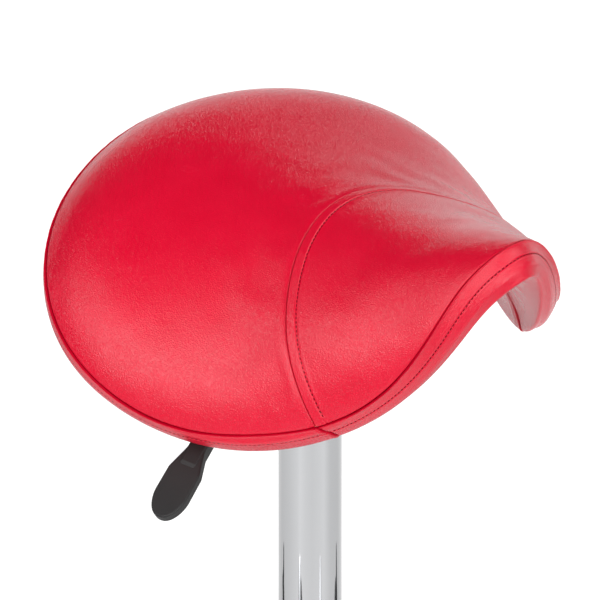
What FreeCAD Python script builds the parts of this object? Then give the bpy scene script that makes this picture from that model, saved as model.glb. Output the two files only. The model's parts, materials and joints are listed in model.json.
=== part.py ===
import FreeCAD, Part
import math
import os

V = FreeCAD.Vector
os.makedirs("parts", exist_ok=True)

# Saddle stool on a gas lift with a five-star castor base.
# Frame: origin on the floor on the column axis, +Z up, the horn of the
# seat points along -Y and the sitter's right hand side is -X. Millimetres.

# ---------------------------------------------------------------- dimensions
SEAT_DATUM = 610.0        # height of the seat surface's zero level, lowest setting
LIFT_STROKE = 200.0

COLUMN_OD = 50.0
COLUMN_WALL = 1.5
COLUMN_TOP = 455.0
HUB_TOP = 128.0
HUB_BOTTOM = 70.0
HUB_OD = 70.0
TUBE_OD = 28.0
TUBE_ID = 25.0
TUBE_BOTTOM = 140.0
TUBE_TOP = 516.0
TAPER_LENGTH = 28.0
ROD_D = 10.0
ROD_TOP = 468.0
SLIDE_GAP = 0.06

ARM_COUNT = 5
ARM_FIRST_DEG = 45.4
ARM_TIP_R = 284.0
STEM_R = 264.0            # castor stems, from the column axis
STEM_D = 11.0
ARM_UNDERSIDE = 64.0

WHEEL_D = 50.0
WHEEL_WIDTH = 15.0
WHEEL_GAP = 6.8           # between the twin wheels
CASTOR_TRAIL = 20.0
CASTOR_YAW_DEG = [3.0, -40.0, 70.0, 160.0, -110.0]
AXLE_D = 6.0

PLATE_X = 170.0
PLATE_Y = 150.0
PLATE_Z = 532.0
PLATE_T = 3.0
BOLT_X = 60.0
BOLT_Y = 50.0

LEVER_PIVOT_X = -28.0
LEVER_Z = 525.0
LEVER_ROD_D = 8.0
PADDLE_TIP = (-205.2, -41.7, 407.2)
PADDLE_DIR = (-0.828, -0.168, -0.534)
PADDLE_L = 88.0
PADDLE_W = 29.0
PADDLE_T = 8.5

# seat: developed outline radius against angle from the horn, and the shape
# of the surface along its length (u forward, mm)
OUT_DEG = [0, 12, 25, 40, 60, 80, 105, 130, 155, 180]
OUT_R = [216.15, 213.35, 221.47, 235.13, 239.95, 237.07, 228.96, 209.11, 193.90, 190.73]
U_KNOTS = [-210.0, -120.0, -30.0, 60.0, 140.0, 215.0]
CREST_Z = [-16.64, -13.21, -9.14, -0.07, 17.04, 45.26]
BEND_K = [0.8227, 2.211, 4.1366, 7.6014, 10.6842, 14.4224]   # 1/m across the seat
TILT_U = [-210.0, -60.0, 80.0, 215.0]
TILT_MAX = [15.0, 29.727, 47.623, 70.964]                    # degrees
ROLL_DEG = [0, 45, 90, 135, 180]
ROLL = [5.12, 18.60, 24.42, 25.29, 24.79]                    # edge roll-off
DEEP_DEG = [0, 25, 50, 90, 180]
DEEP = [29.33, 30.02, 33.14, 35.09, 33.45]                   # border strip depth
LEAN_DEG = [0, 90, 180]
LEAN = [-10.0, 5.07, 11.10]                                  # strip leans inwards
BEND_Q = (0.9228, 0.8556)
PUFF = (9.0, 125.2, 130.0, 60.0, 47.4)
ARCH = (34.344, 3.7635e-3, -2.2445e-8)                       # arched seam u(g)
ARCH_END_G = 192.0
ARCH_END_DEG = 53.4
CENTRE_DEPTH = 44.0       # whole seat thickness at the centre
SHELL_T = 11.0
LEATHER_T = 1.4
HEM_W = 46.0              # leather turned under the shell
STAPLE_IN = 41.0          # staples, from the rim


# ---------------------------------------------------------------- small maths
class Spline:
    """Cubic spline; flat ends when flat is true, otherwise natural ends."""

    def __init__(self, xs, ys, flat):
        n = len(xs)
        self.x = [float(x) for x in xs]
        self.y = [float(y) for y in ys]
        a, b, c, r = [0.0] * n, [1.0] * n, [0.0] * n, [0.0] * n
        for i in range(1, n - 1):
            h0, h1 = self.x[i] - self.x[i - 1], self.x[i + 1] - self.x[i]
            a[i], b[i], c[i] = h0, 2 * (h0 + h1), h1
            r[i] = 6 * ((self.y[i + 1] - self.y[i]) / h1 - (self.y[i] - self.y[i - 1]) / h0)
        if flat:
            h = self.x[1] - self.x[0]
            b[0], c[0], r[0] = 2 * h, h, 6 * (self.y[1] - self.y[0]) / h
            h = self.x[-1] - self.x[-2]
            a[-1], b[-1], r[-1] = h, 2 * h, -6 * (self.y[-1] - self.y[-2]) / h
        for i in range(1, n):
            w = a[i] / b[i - 1]
            b[i] -= w * c[i - 1]
            r[i] -= w * r[i - 1]
        m = [0.0] * n
        m[-1] = r[-1] / b[-1]
        for i in range(n - 2, -1, -1):
            m[i] = (r[i] - c[i] * m[i + 1]) / b[i]
        self.m = m

    def __call__(self, t):
        x, y, m = self.x, self.y, self.m
        i = 0
        while i < len(x) - 2 and t > x[i + 1]:
            i += 1
        h = x[i + 1] - x[i]
        p, q = (x[i + 1] - t) / h, (t - x[i]) / h
        return p * y[i] + q * y[i + 1] + ((p ** 3 - p) * m[i] + (q ** 3 - q) * m[i + 1]) * h * h / 6


def rad_list(degs):
    return [math.radians(d) for d in degs]


S_R = Spline(rad_list(OUT_DEG), OUT_R, True)
S_A = Spline(U_KNOTS, CREST_Z, False)
S_K = Spline(U_KNOTS, BEND_K, False)
S_T = Spline(TILT_U, TILT_MAX, False)
S_ROLL = Spline(rad_list(ROLL_DEG), ROLL, True)
S_H = Spline(rad_list(DEEP_DEG), DEEP, True)
S_IN = Spline(rad_list(LEAN_DEG), LEAN, True)
GX = [0.013046735741414, 0.067468316655508, 0.160295215850488, 0.283302302935376,
      0.425562830509184, 0.574437169490816, 0.716697697064624, 0.839704784149512,
      0.932531683344492, 0.986953264258586]
GW = [0.033335672154344, 0.074725674575291, 0.109543181257991, 0.134633359654998,
      0.147762112357376, 0.147762112357376, 0.134633359654998, 0.109543181257991,
      0.074725674575291, 0.033335672154344]


def add(a, b, s=1.0):
    return (a[0] + b[0] * s, a[1] + b[1] * s, a[2] + b[2] * s)


def cross(a, b):
    return (a[1] * b[2] - a[2] * b[1], a[2] * b[0] - a[0] * b[2], a[0] * b[1] - a[1] * b[0])


def unit(a):
    n = math.sqrt(a[0] ** 2 + a[1] ** 2 + a[2] ** 2)
    return (a[0] / n, a[1] / n, a[2] / n)


# ---------------------------------------------------------------- seat surface
def section(u, g):
    """Point of the plain saddle: u along the crest, g measured over the side."""
    k = S_K(u) * 1e-3
    t = math.radians(S_T(u))
    w = min(max((u + 60.0) / 275.0, 0.0), 1.0)
    q = BEND_Q[1] * (1 - w) + BEND_Q[0] * w
    a = abs(g)
    c = s = 0.0
    for gx, gw in zip(GX, GW):
        tau = t * math.tanh((k * 100.0 / t) * (a * gx / 100.0) ** q)
        c += math.cos(tau) * gw
        s += math.sin(tau) * gw
    return (u, c * g, S_A(u) - s * a)


def normal(u, g, h=0.5):
    a = add(section(u + h, g), section(u - h, g), -1)
    b = add(section(u, g + h), section(u, g - h), -1)
    return unit(cross(a, b))


def lift_off(u, g, rho, phi):
    a, uc, gc, su, sg = PUFF
    puff = a * math.exp(-((u - uc) / su) ** 2 - ((abs(g) - gc) / sg) ** 2)
    return puff * (1 - rho ** 4) - S_ROLL(abs(phi)) * rho ** 8


def polar(u, g):
    phi = math.atan2(g, u)
    return math.hypot(u, g) / S_R(abs(phi)), phi


def outer(u, g, depth=0.0):
    rho, phi = polar(u, g)
    return add(section(u, g), normal(u, g), lift_off(u, g, rho, phi) - depth)


def edge(phi):
    r = S_R(abs(phi))
    return outer(r * math.cos(phi), r * math.sin(phi))


def edge_frame(phi):
    r = S_R(abs(phi))
    n = normal(r * math.cos(phi), r * math.sin(phi))
    t = unit(add(edge(phi + 1e-3), edge(phi - 1e-3), -1))
    o = unit(cross(t, n))
    return edge(phi), cross(o, t), o, t


def strip_side(phi, t, inset=0.0):
    p, n, o, _ = edge_frame(phi)
    h, lean = S_H(abs(phi)), S_IN(abs(phi))
    return add(add(p, n, -h * t), o, 4.0 * math.sin(math.pi * t) - lean * t * t - inset)


def thick(rho, phi):
    h = S_H(abs(phi))
    return h + (CENTRE_DEPTH - h) * (1 - rho * rho)


def inner(rho, phi, depth, inset):
    """Point under the surface, drawn in at the rim to stay inside the strip."""
    r = S_R(abs(phi))
    u, g = rho * r * math.cos(phi), rho * r * math.sin(phi)
    p = outer(u, g, depth)
    t = min(depth / S_H(abs(phi)), 1.15)
    lean = S_IN(abs(phi))
    o = edge_frame(phi)[2]
    push = 4.0 * math.sin(math.pi * min(t, 1.0)) - lean * t * t - inset
    return add(p, o, push * rho ** 6)


def world(p):
    return V(-p[1], -p[0], p[2] + SEAT_DATUM)


# ---------------------------------------------------------------- solids from point grids
def greville(n):
    return [0.0, 1 / 3.0] + [float(i) for i in range(1, n - 3)] + [n - 3 - 1 / 3.0, float(n - 3)]


def params(n):
    """Sample places from 0 to 1 that suit a clamped cubic with n poles."""
    return [x / (n - 3) for x in greville(n)]


def cubic_knots(n):
    return [float(i) for i in range(n - 2)], [4] + [1] * (n - 4) + [4]


def patch(grid):
    """Cubic face with the grid as poles; two rows or columns make it straight."""
    nu, nv = len(grid), len(grid[0])
    ku, mu, du = ([0.0, 1.0], [2, 2], 1) if nu == 2 else (*cubic_knots(nu), 3)
    kv, mv, dv = ([0.0, 1.0], [2, 2], 1) if nv == 2 else (*cubic_knots(nv), 3)
    s = Part.BSplineSurface()
    s.buildFromPolesMultsKnots(grid, mu, mv, ku, kv, False, False, du, dv)
    return s.toShape()


def brick(top, bottom):
    """Solid between two grids of the same size, closed by straight sides."""
    faces = [patch(top), patch(bottom)]
    faces.append(patch([top[0], bottom[0]]))
    faces.append(patch([top[-1], bottom[-1]]))
    faces.append(patch([[r[0] for r in top], [r[0] for r in bottom]]))
    faces.append(patch([[r[-1] for r in top], [r[-1] for r in bottom]]))
    shell = Part.makeShell(faces)
    shell.sewShape()
    solid = Part.makeSolid(shell)
    if solid.Volume < 0:
        solid.reverse()
    return solid


def disc_grid(n, depth, inset, rim=1.0):
    """Square grid pulled onto the round seat outline."""
    rows = []
    ps = [math.sin(0.45 * math.pi * (2 * p - 1)) / math.sin(0.45 * math.pi) for p in params(n)]
    for s in ps:
        row = []
        for t in ps:
            x, y = s * math.sqrt(1 - t * t / 2), t * math.sqrt(1 - s * s / 2)
            rho, phi = math.hypot(x, y) * rim, math.atan2(y, x)
            row.append(world(inner(rho, phi, depth(rho, phi), inset)))
        rows.append(row)
    return rows


# ---------------------------------------------------------------- plain shapes
def rounded(points, radii):
    """Closed wire through points (x, y) in the XY plane with rounded corners."""
    n = len(points)
    if not isinstance(radii, (list, tuple)):
        radii = [radii] * n
    ends, arcs = [], []
    for i in range(n):
        p, a, b = points[i], points[i - 1], points[(i + 1) % n]
        r = radii[i]
        if r <= 0:
            ends.append((V(p[0], p[1], 0), V(p[0], p[1], 0)))
            arcs.append(None)
            continue
        ua = V(a[0] - p[0], a[1] - p[1], 0).normalize()
        ub = V(b[0] - p[0], b[1] - p[1], 0).normalize()
        half = ua.getAngle(ub) / 2
        d = r / math.tan(half)
        c = V(p[0], p[1], 0) + (ua + ub).normalize() * (r / math.sin(half))
        mid = c + (V(p[0], p[1], 0) - c).normalize() * r
        s, e = V(p[0], p[1], 0) + ua * d, V(p[0], p[1], 0) + ub * d
        ends.append((s, e))
        arcs.append(Part.Arc(s, mid, e).toShape())
    edges = []
    for i in range(n):
        if arcs[i]:
            edges.append(arcs[i])
        a, b = ends[i][1], ends[(i + 1) % n][0]
        if (a - b).Length > 1e-6:
            edges.append(Part.makeLine(a, b))
    return Part.Wire(edges)


def plate_solid(points, radii, z0, z1):
    f = Part.Face(rounded(points, radii))
    f.translate(V(0, 0, z0))
    return f.extrude(V(0, 0, z1 - z0))


def rect(x0, y0, x1, y1):
    return [(x0, y0), (x1, y0), (x1, y1), (x0, y1)]


def turned(points, radii=0.0):
    """Solid of revolution about Z from a closed (r, z) outline."""
    w = rounded(points, radii)
    w.rotate(V(0, 0, 0), V(1, 0, 0), 90)
    return Part.Face(w).revolve(V(0, 0, 0), V(0, 0, 1), 360)


def ring(r_in, r_out, z0, z1, edge_r=0.0):
    return turned([(r_in, z0), (r_out, z0), (r_out, z1), (r_in, z1)], edge_r)


def cyl(r, p, axis, length):
    return Part.makeCylinder(r, length, V(*p), V(*axis))


def group(solids):
    return Part.makeCompound(solids)


def spun(shape, deg):
    s = shape.copy()
    s.rotate(V(0, 0, 0), V(0, 0, 1), deg)
    return s


def rod_along(points, r, bend):
    """Round bar along straight runs joined by tangent arcs."""
    pts = [V(*p) for p in points]
    edges, start = [], pts[0]
    for i in range(1, len(pts) - 1):
        ua, ub = (pts[i - 1] - pts[i]).normalize(), (pts[i + 1] - pts[i]).normalize()
        half = ua.getAngle(ub) / 2
        d = bend / math.tan(half)
        c = pts[i] + (ua + ub).normalize() * (bend / math.sin(half))
        mid = c + (pts[i] - c).normalize() * bend
        a, b = pts[i] + ua * d, pts[i] + ub * d
        edges += [Part.makeLine(start, a), Part.Arc(a, mid, b).toShape()]
        start = b
    edges.append(Part.makeLine(start, pts[-1]))
    path = Part.Wire(edges)
    prof = Part.Wire([Part.makeCircle(r, pts[0], (pts[1] - pts[0]).normalize())])
    return path.makePipeShell([prof], True, True)


NODES = {}


def keep(name, shape):
    NODES[name] = shape
    shape.exportStep("parts/%s.step" % name)


ARM_DEG = [ARM_FIRST_DEG + 360.0 / ARM_COUNT * k for k in range(ARM_COUNT)]

# ---------------------------------------------------------------- base: hub, arms, column
taper_r = COLUMN_OD / 2 - 1.0
hub = turned([(taper_r, HUB_BOTTOM), (HUB_OD / 2 - 2, HUB_BOTTOM), (HUB_OD / 2, HUB_BOTTOM + 4),
              (HUB_OD / 2, HUB_TOP - 14), (HUB_OD / 2 - 5.5, HUB_TOP), (COLUMN_OD / 2, HUB_TOP)],
             [0, 1.5, 1.5, 6, 1.5, 0])
keep("star_hub", hub)


def arm_section(x, w, z0, z1, r):
    rr = [min(2.0, w / 6), min(2.0, w / 6), r, r]
    wire = rounded(rect(-w / 2, z0, w / 2, z1), rr)
    wire.rotate(V(0, 0, 0), V(1, 0, 0), 90)
    wire.rotate(V(0, 0, 0), V(0, 0, 1), 90)
    wire.translate(V(x, 0, 0))
    return wire


ARM_ROWS = [  # station, width, underside, top, shoulder radius
    (26.0, 46.0, 72.0, 121.0, 16.0), (90.0, 38.5, 72.0, 111.0, 14.5), (155.0, 34.0, 69.5, 99.5, 12.5),
    (220.0, 31.0, 66.0, 89.5, 11.0), (ARM_TIP_R, 28.5, ARM_UNDERSIDE, 83.5, 9.0)]
arm = Part.makeLoft([arm_section(*row) for row in ARM_ROWS], True, False)
hollow_rows = [(x, w - 4.6, 40.0, z1 - 2.6, r - 2.2) for x, w, z0, z1, r in ARM_ROWS]
arm = arm.cut(Part.makeLoft([arm_section(*row) for row in hollow_rows], True, False).common(
    Part.makeBox(274.0 - 44.0, 60, 120, V(44.0, -30, 0))))
tip_c = ARM_TIP_R - 14.2
cap = turned([(0, 30), (14.3, 30), (14.3, 84.5), (0, 84.5)], [0, 0, 6.5, 0])
cap.translate(V(tip_c, 0, 0))
arm = arm.common(Part.makeBox(tip_c, 80, 200, V(0, -40, 0)).fuse(cap))
arm = arm.cut(Part.makeCylinder(HUB_OD / 2, 100, V(0, 0, 50)))
keep("star_arms", group([spun(arm, d) for d in ARM_DEG]))

sock = cyl(9.0, (STEM_R, 0, ARM_UNDERSIDE), (0, 0, 1), 16.5)
sock = sock.fuse(Part.makeBox(22, 23.0, 3.0, V(STEM_R - 14, -11.5, ARM_UNDERSIDE)))
sock = sock.cut(cyl(6.4, (STEM_R, 0, 50), (0, 0, 1), 28.0))
keep("stem_sockets", group([spun(sock, d) for d in ARM_DEG]))

ro = COLUMN_OD / 2
column = turned([(ro - COLUMN_WALL, COLUMN_TOP), (ro - COLUMN_WALL, HUB_TOP), (taper_r - COLUMN_WALL, HUB_BOTTOM),
                 (taper_r, HUB_BOTTOM), (ro, HUB_TOP), (ro, COLUMN_TOP)], 0)
keep("column_tube", column)
ri = ro - COLUMN_WALL
bush = turned([(TUBE_OD / 2 + SLIDE_GAP, COLUMN_TOP - 70), (ri, COLUMN_TOP - 70), (ri, COLUMN_TOP), (ro - 0.2, COLUMN_TOP),
               (ro - 0.2, COLUMN_TOP + 2.4), (ro - 2.0, COLUMN_TOP + 3.6), (TUBE_OD / 2 + SLIDE_GAP, COLUMN_TOP + 3.6)], 0)
keep("guide_bush", bush)
rb = taper_r - COLUMN_WALL
end_plate = turned([(ROD_D / 2 + 0.05, HUB_BOTTOM), (rb, HUB_BOTTOM),
                    (rb + 4.0 / 58.0, HUB_BOTTOM + 4), (ROD_D / 2 + 0.05, HUB_BOTTOM + 4)], 0)
keep("column_end_plate", end_plate)
keep("bearing_washer_lower", ring(5.6, 14.0, 74.0, 75.5))
balls = []
for k in range(8):
    a = math.radians(45 * k)
    balls.append(Part.makeSphere(2.0, V(9.5 * math.cos(a), 9.5 * math.sin(a), 77.5)))
keep("bearing_balls", group(balls))

stem = turned([(0, 47.0), (STEM_D / 2 - 0.8, 47.0), (STEM_D / 2, 47.8), (STEM_D / 2, 61.6), (8.0, 61.6),
               (8.0, ARM_UNDERSIDE), (STEM_D / 2, ARM_UNDERSIDE), (STEM_D / 2, 67.5), (4.6, 67.5), (4.6, 72.5),
               (STEM_D / 2, 72.5), (STEM_D / 2, 75.5), (4.0, 77.0), (0, 77.0)], 0)
clip = ring(4.6, 6.4, 67.8, 72.2).cut(Part.makeBox(8, 1.6, 12, V(0, -0.8, 65)))
for s in (stem, clip):
    s.translate(V(STEM_R, 0, 0))
keep("castor_stems", group([spun(stem, d) for d in ARM_DEG]))
keep("stem_grip_rings", group([spun(clip, d) for d in ARM_DEG]))

# ---------------------------------------------------------------- spindle: piston rod, turns in the column
rod = turned([(0, 64.0), (4.2, 64.0), (ROD_D / 2, 64.8), (ROD_D / 2, 67.0), (4.2, 67.0), (4.2, 68.6),
              (ROD_D / 2, 68.6), (ROD_D / 2, ROD_TOP - 18), (4.0, ROD_TOP - 18), (4.0, ROD_TOP), (0, ROD_TOP)], 0)
keep("piston_rod", rod)
keep("rod_clip", ring(4.2, 9.0, 67.0, 68.6).cut(Part.makeBox(12, 4.0, 6, V(0, -2.0, 65))))
keep("bearing_washer_upper", ring(ROD_D / 2, 14.0, 79.6, 81.1))
keep("bumper", turned([(ROD_D / 2, 81.1), (15.0, 81.1), (15.0, 96.0), (12.0, 101.0), (ROD_D / 2, 101.0)], [0, 1.5, 3, 1.5, 0]))
rt = ROD_TOP
keep("piston", turned([(4.0, rt - 18), (TUBE_ID / 2 - 0.08, rt - 18), (TUBE_ID / 2 - 0.08, rt - 13), (10.2, rt - 13), (10.2, rt - 9),
                       (TUBE_ID / 2 - 0.08, rt - 9), (TUBE_ID / 2 - 0.08, rt - 3), (4.0, rt - 3)], 0))
keep("piston_seal", ring(10.2, TUBE_ID / 2 - 0.04, rt - 12.8, rt - 9.2))

# ---------------------------------------------------------------- lift: pressure tube and seat carrier
tr = TUBE_OD / 2
tube = turned([(TUBE_ID / 2, TUBE_BOTTOM), (tr, TUBE_BOTTOM), (tr, TUBE_TOP - TAPER_LENGTH), (tr - 0.7, TUBE_TOP),
               (3.1, TUBE_TOP), (3.1, TUBE_TOP - 8), (TUBE_ID / 2, TUBE_TOP - 8)], 0)
keep("pressure_tube", tube)
keep("tube_gland", turned([(ROD_D / 2 + SLIDE_GAP, TUBE_BOTTOM), (TUBE_ID / 2, TUBE_BOTTOM), (TUBE_ID / 2, TUBE_BOTTOM + 20),
                           (8.0, TUBE_BOTTOM + 20), (ROD_D / 2 + SLIDE_GAP, TUBE_BOTTOM + 16)], 0))
CH_Y, CH_X, CH_T, CH_Z = 28.0, 45.0, 3.0, PLATE_Z - 37.0
socket = turned([(tr, TUBE_TOP - TAPER_LENGTH), (tr + 5.5, TUBE_TOP - TAPER_LENGTH), (tr + 7.0, CH_Z), (tr + 7.0, CH_Z + CH_T),
                 (tr + 5.0, TUBE_TOP - 1), (tr - 0.7 + 0.025, TUBE_TOP - 1)], [0, 1.5, 0, 0, 1.0, 0])
keep("taper_socket", socket)
channel = Part.makeBox(2 * CH_X, 2 * CH_Y, PLATE_Z - CH_Z, V(-CH_X, -CH_Y, CH_Z))
channel = channel.cut(Part.makeBox(2 * CH_X + 4, 2 * (CH_Y - CH_T), PLATE_Z - CH_Z, V(-CH_X - 2, -CH_Y + CH_T, CH_Z + CH_T)))
channel = channel.cut(cyl(tr + 7.0, (0, 0, CH_Z - 5), (0, 0, 1), 12.0))
channel = channel.cut(cyl(3.0, (LEVER_PIVOT_X, -40, LEVER_Z), (0, 1, 0), 80.0))
keep("plate_channel", channel)

plate = plate_solid(rect(-PLATE_X / 2, -PLATE_Y / 2, PLATE_X / 2, PLATE_Y / 2), 14.0, PLATE_Z, PLATE_Z + PLATE_T)
rim = plate_solid(rect(-PLATE_X / 2, -PLATE_Y / 2, PLATE_X / 2, PLATE_Y / 2), 14.0, PLATE_Z - 6, PLATE_Z)
rim = rim.cut(plate_solid(rect(-PLATE_X / 2 + 2.5, -PLATE_Y / 2 + 2.5, PLATE_X / 2 - 2.5, PLATE_Y / 2 - 2.5), 11.5, PLATE_Z - 8, PLATE_Z))
plate = plate.fuse(rim).removeSplitter()
corners = [(sx * BOLT_X, sy * BOLT_Y) for sx in (-1, 1) for sy in (-1, 1)]
for bx, by in corners:
    slot = plate_solid(rect(bx - 9.0, by - 4.3, bx + 9.0, by + 4.3), 4.29, PLATE_Z - 2, PLATE_Z + 6)
    plate = plate.cut(slot)
keep("seat_plate", plate)

bolts, washers, inserts = [], [], []
for bx, by in corners:
    head = Part.Face(Part.makePolygon([V(bx + 7.5 * math.cos(math.radians(60 * i + 30)), by + 7.5 * math.sin(math.radians(60 * i + 30)),
                                         PLATE_Z - 1.6 - 5.3) for i in range(7)])).extrude(V(0, 0, 5.3))
    bolts.append(head.fuse(cyl(3.95, (bx, by, PLATE_Z - 2.0), (0, 0, 1), 16.0)))
    w = ring(4.2, 8.0, PLATE_Z - 1.6, PLATE_Z)
    w.translate(V(bx, by, 0))
    washers.append(w)
    zi = PLATE_Z + PLATE_T
    t = turned([(4.0, zi), (9.0, zi), (9.0, zi + 1.2), (6.0, zi + 1.2), (6.0, zi + 11.0), (4.0, zi + 11.0)], 0)
    t.translate(V(bx, by, 0))
    inserts.append(t)
keep("plate_bolts", group(bolts))
keep("plate_washers", group(washers))
keep("threaded_inserts", group(inserts))
keep("lever_pivot_pin", cyl(3.0, (LEVER_PIVOT_X, -CH_Y - 3, LEVER_Z), (0, 1, 0), 2 * CH_Y + 6).fuse(
    cyl(4.6, (LEVER_PIVOT_X, -CH_Y - 4.5, LEVER_Z), (0, 1, 0), 4.5)))

# ---------------------------------------------------------------- lever and release button
pdir = V(*PADDLE_DIR).normalize()
tip = V(*PADDLE_TIP)
root = tip - pdir * PADDLE_L
inner_end = tip - pdir * 46.0
lever = rod_along([(4, 0, LEVER_Z), (-54, 0, LEVER_Z), tuple(root), tuple(inner_end)], LEVER_ROD_D / 2, 14.0)
lever = lever.fuse(cyl(6.5, (LEVER_PIVOT_X, -11, LEVER_Z), (0, 1, 0), 22.0))
lever = lever.cut(cyl(3.05, (LEVER_PIVOT_X, -20, LEVER_Z), (0, 1, 0), 40.0))
keep("lever_rod", lever)

# paddle outline: x from its upper end down to the tip, y across
end = [(64, 14.5), (72, 14.0), (79, 11.7), (84.5, 8.0), (87.4, 3.6)]
curve = Part.BSplineCurve()
curve.interpolate([V(x, y, 0) for x, y in end] + [V(PADDLE_L, 0, 0)] + [V(x, -y, 0) for x, y in reversed(end)])
side = [V(0, 7.4, 0), V(26, 8.0, 0), V(46, 14.2, 0), V(64, 14.5, 0)]
edges = [Part.makeLine(p, q) for p, q in zip(side, side[1:])] + [curve.toShape()]
edges += [Part.makeLine(V(p.x, -p.y, 0), V(q.x, -q.y, 0)) for p, q in zip(side[:0:-1], side[-2::-1])]
edges.append(Part.makeLine(V(0, -7.4, 0), V(0, 7.4, 0)))
paddle = Part.Face(Part.Wire(edges)).extrude(V(0, 0, PADDLE_T))
paddle.translate(V(0, 0, -PADDLE_T / 2))
for r, x in ((5.0, 46.0), (12.0, 26.0)):
    try:
        paddle = paddle.makeFillet(r, [e for e in paddle.Edges if abs(e.CenterOfMass.x - x) < 0.6
                                       and abs(e.CenterOfMass.z) < 1e-3 and abs(e.Length - PADDLE_T) < 1e-3])
    except Exception:
        pass
try:
    paddle = paddle.makeFillet(1.6, [e for e in paddle.Edges if abs(abs(e.CenterOfMass.z) - PADDLE_T / 2) < 1e-3
                                     and e.CenterOfMass.x > 1.0])
except Exception:
    pass
# deeper neck that grips the rod
neck = [V(0, -7.3, -8.2), V(31, -7.3, -8.2), V(45, -7.3, -3.4), V(45, -7.3, 3.4), V(38, -7.3, 5.0), V(0, -7.3, 5.0)]
neck = Part.Face(Part.makePolygon(neck + neck[:1])).extrude(V(0, 14.6, 0))
try:
    neck = neck.makeFillet(1.6, [e for e in neck.Edges if abs(abs(e.CenterOfMass.y) - 7.3) < 1e-3 and e.CenterOfMass.x > 1.0
                                 and abs(e.CenterOfMass.z) > 4.0])
except Exception:
    pass
paddle = paddle.fuse(neck).removeSplitter()
across = V(0, 0, 1).cross(pdir).normalize()
up = pdir.cross(across)
if up.z < 0:
    across, up = across * -1, up * -1
matrix = FreeCAD.Matrix(pdir.x, across.x, up.x, root.x, pdir.y, across.y, up.y, root.y,
                       pdir.z, across.z, up.z, root.z, 0, 0, 0, 1)
paddle.Placement = FreeCAD.Placement(matrix)
paddle = paddle.cut(lever)
keep("lever_paddle", paddle)
keep("release_button", cyl(3.0, (0, 0, TUBE_TOP - 9.0), (0, 0, 1), 13.7))

# ---------------------------------------------------------------- seat: board, shell, foam, covers
def board_top(x, y):
    """Height of the shell's underside over the point x, y."""
    u, g = -y, -x
    for _ in range(12):
        rho, phi = polar(u, g)
        p = world(inner(rho, phi, thick(rho, phi), 2.0))
        u += (p.y - y)
        g += (p.x - x)
    return p.z


BOARD_X, BOARD_Y, BOARD_Z = 176.0, 156.0, PLATE_Z + PLATE_T
ps = params(9)
top_rows, low_rows = [], []
for a in ps:
    x = (2 * a - 1) * BOARD_X / 2
    top_rows.append([V(x, (2 * b - 1) * BOARD_Y / 2, board_top(x, (2 * b - 1) * BOARD_Y / 2) - 0.4) for b in ps])
    low_rows.append([V(x, (2 * b - 1) * BOARD_Y / 2, BOARD_Z) for b in ps])
board = brick(top_rows, low_rows)
for t in inserts:
    bb = t.BoundBox
    board = board.cut(cyl(6.0, (bb.Center.x, bb.Center.y, BOARD_Z - 1), (0, 0, 1), 12.0))
    board = board.cut(cyl(9.0, (bb.Center.x, bb.Center.y, BOARD_Z - 1), (0, 0, 1), 2.2))
keep("mounting_board", board)

N = 25
foam_top = disc_grid(N, lambda r, f: 1.8, 2.0)
foam_low = disc_grid(N, lambda r, f: thick(r, f) - 2.0 - SHELL_T, 2.0)
shell_low = disc_grid(N, lambda r, f: thick(r, f) - 2.0, 2.0)
keep("foam_pad", brick(foam_top, foam_low))
keep("seat_shell", brick(foam_low, shell_low))

dust = brick(disc_grid(N, lambda r, f: thick(r, f) - 0.7, 2.0, 0.72), disc_grid(N, lambda r, f: thick(r, f) + 0.1, 2.0, 0.72))
dust = dust.cut(Part.makeBox(BOARD_X + 0.4, BOARD_Y + 0.4, 80, V(-BOARD_X / 2 - 0.2, -BOARD_Y / 2 - 0.2, BOARD_Z - 5)))
keep("dust_cover", dust)


def arch_ug(g):
    return (ARCH[0] + ARCH[1] * g * g + ARCH[2] * g ** 4, g)


def panel(rear):
    """Leather panel between the arched seam and the rim."""
    na, nb = 33, 13
    tops, lows = [], []
    for pa in params(na):
        a = (2 * pa - 1) * 0.975
        s, g = arch_ug(a * ARCH_END_G)
        phi_j = math.radians(ARCH_END_DEG)
        if rear:
            phi = math.pi - (math.pi - phi_j) * a
            s -= 0.6
        else:
            phi = phi_j * a
            s += 0.6
        if phi > math.pi:
            phi -= 2 * math.pi
        r = S_R(abs(phi)) - 1.9
        e = (r * math.cos(phi), r * math.sin(phi))
        top, low = [], []
        for pb in params(nb):
            b = math.sin(0.5 * math.pi * pb)
            u, v = s + (e[0] - s) * b, g + (e[1] - g) * b
            top.append(world(outer(u, v, 0.0)))
            low.append(world(outer(u, v, LEATHER_T)))
        tops.append(top)
        lows.append(low)
    return brick(tops, lows)


keep("cover_rear_panel", panel(True))
keep("cover_front_panel", panel(False))


def strip(phi0, phi1, n):
    """Border strip: down the side, then turned under the shell."""
    side = [0.01, 0.12, 0.3, 0.5, 0.7, 0.86, 0.96]
    outs, ins = [], []
    for p in params(n):
        phi = phi0 + (phi1 - phi0) * p
        w = phi if phi <= math.pi else phi - 2 * math.pi
        _, nn, o, _ = edge_frame(w)
        h = S_H(abs(w))
        out, inn = [], []
        for t in side:
            q = strip_side(w, t)
            out.append(world(q))
            inn.append(world(add(q, o, -LEATHER_T)))
        q = strip_side(w, 1.0, 3.5)
        out.append(world(add(q, nn, -0.6)))
        inn.append(world(add(add(q, nn, 0.7), o, -0.2)))
        for d in (9.0, 16.0, 23.0, 30.0, 38.0, HEM_W):
            rho = 1.0 - d / S_R(abs(w))
            out.append(world(inner(rho, w, thick(rho, w) + 0.1, 2.0)))
            inn.append(world(inner(rho, w, thick(rho, w) - 1.1, 2.0)))
        outs.append(out)
        ins.append(inn)
    return brick(outs, ins)


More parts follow.
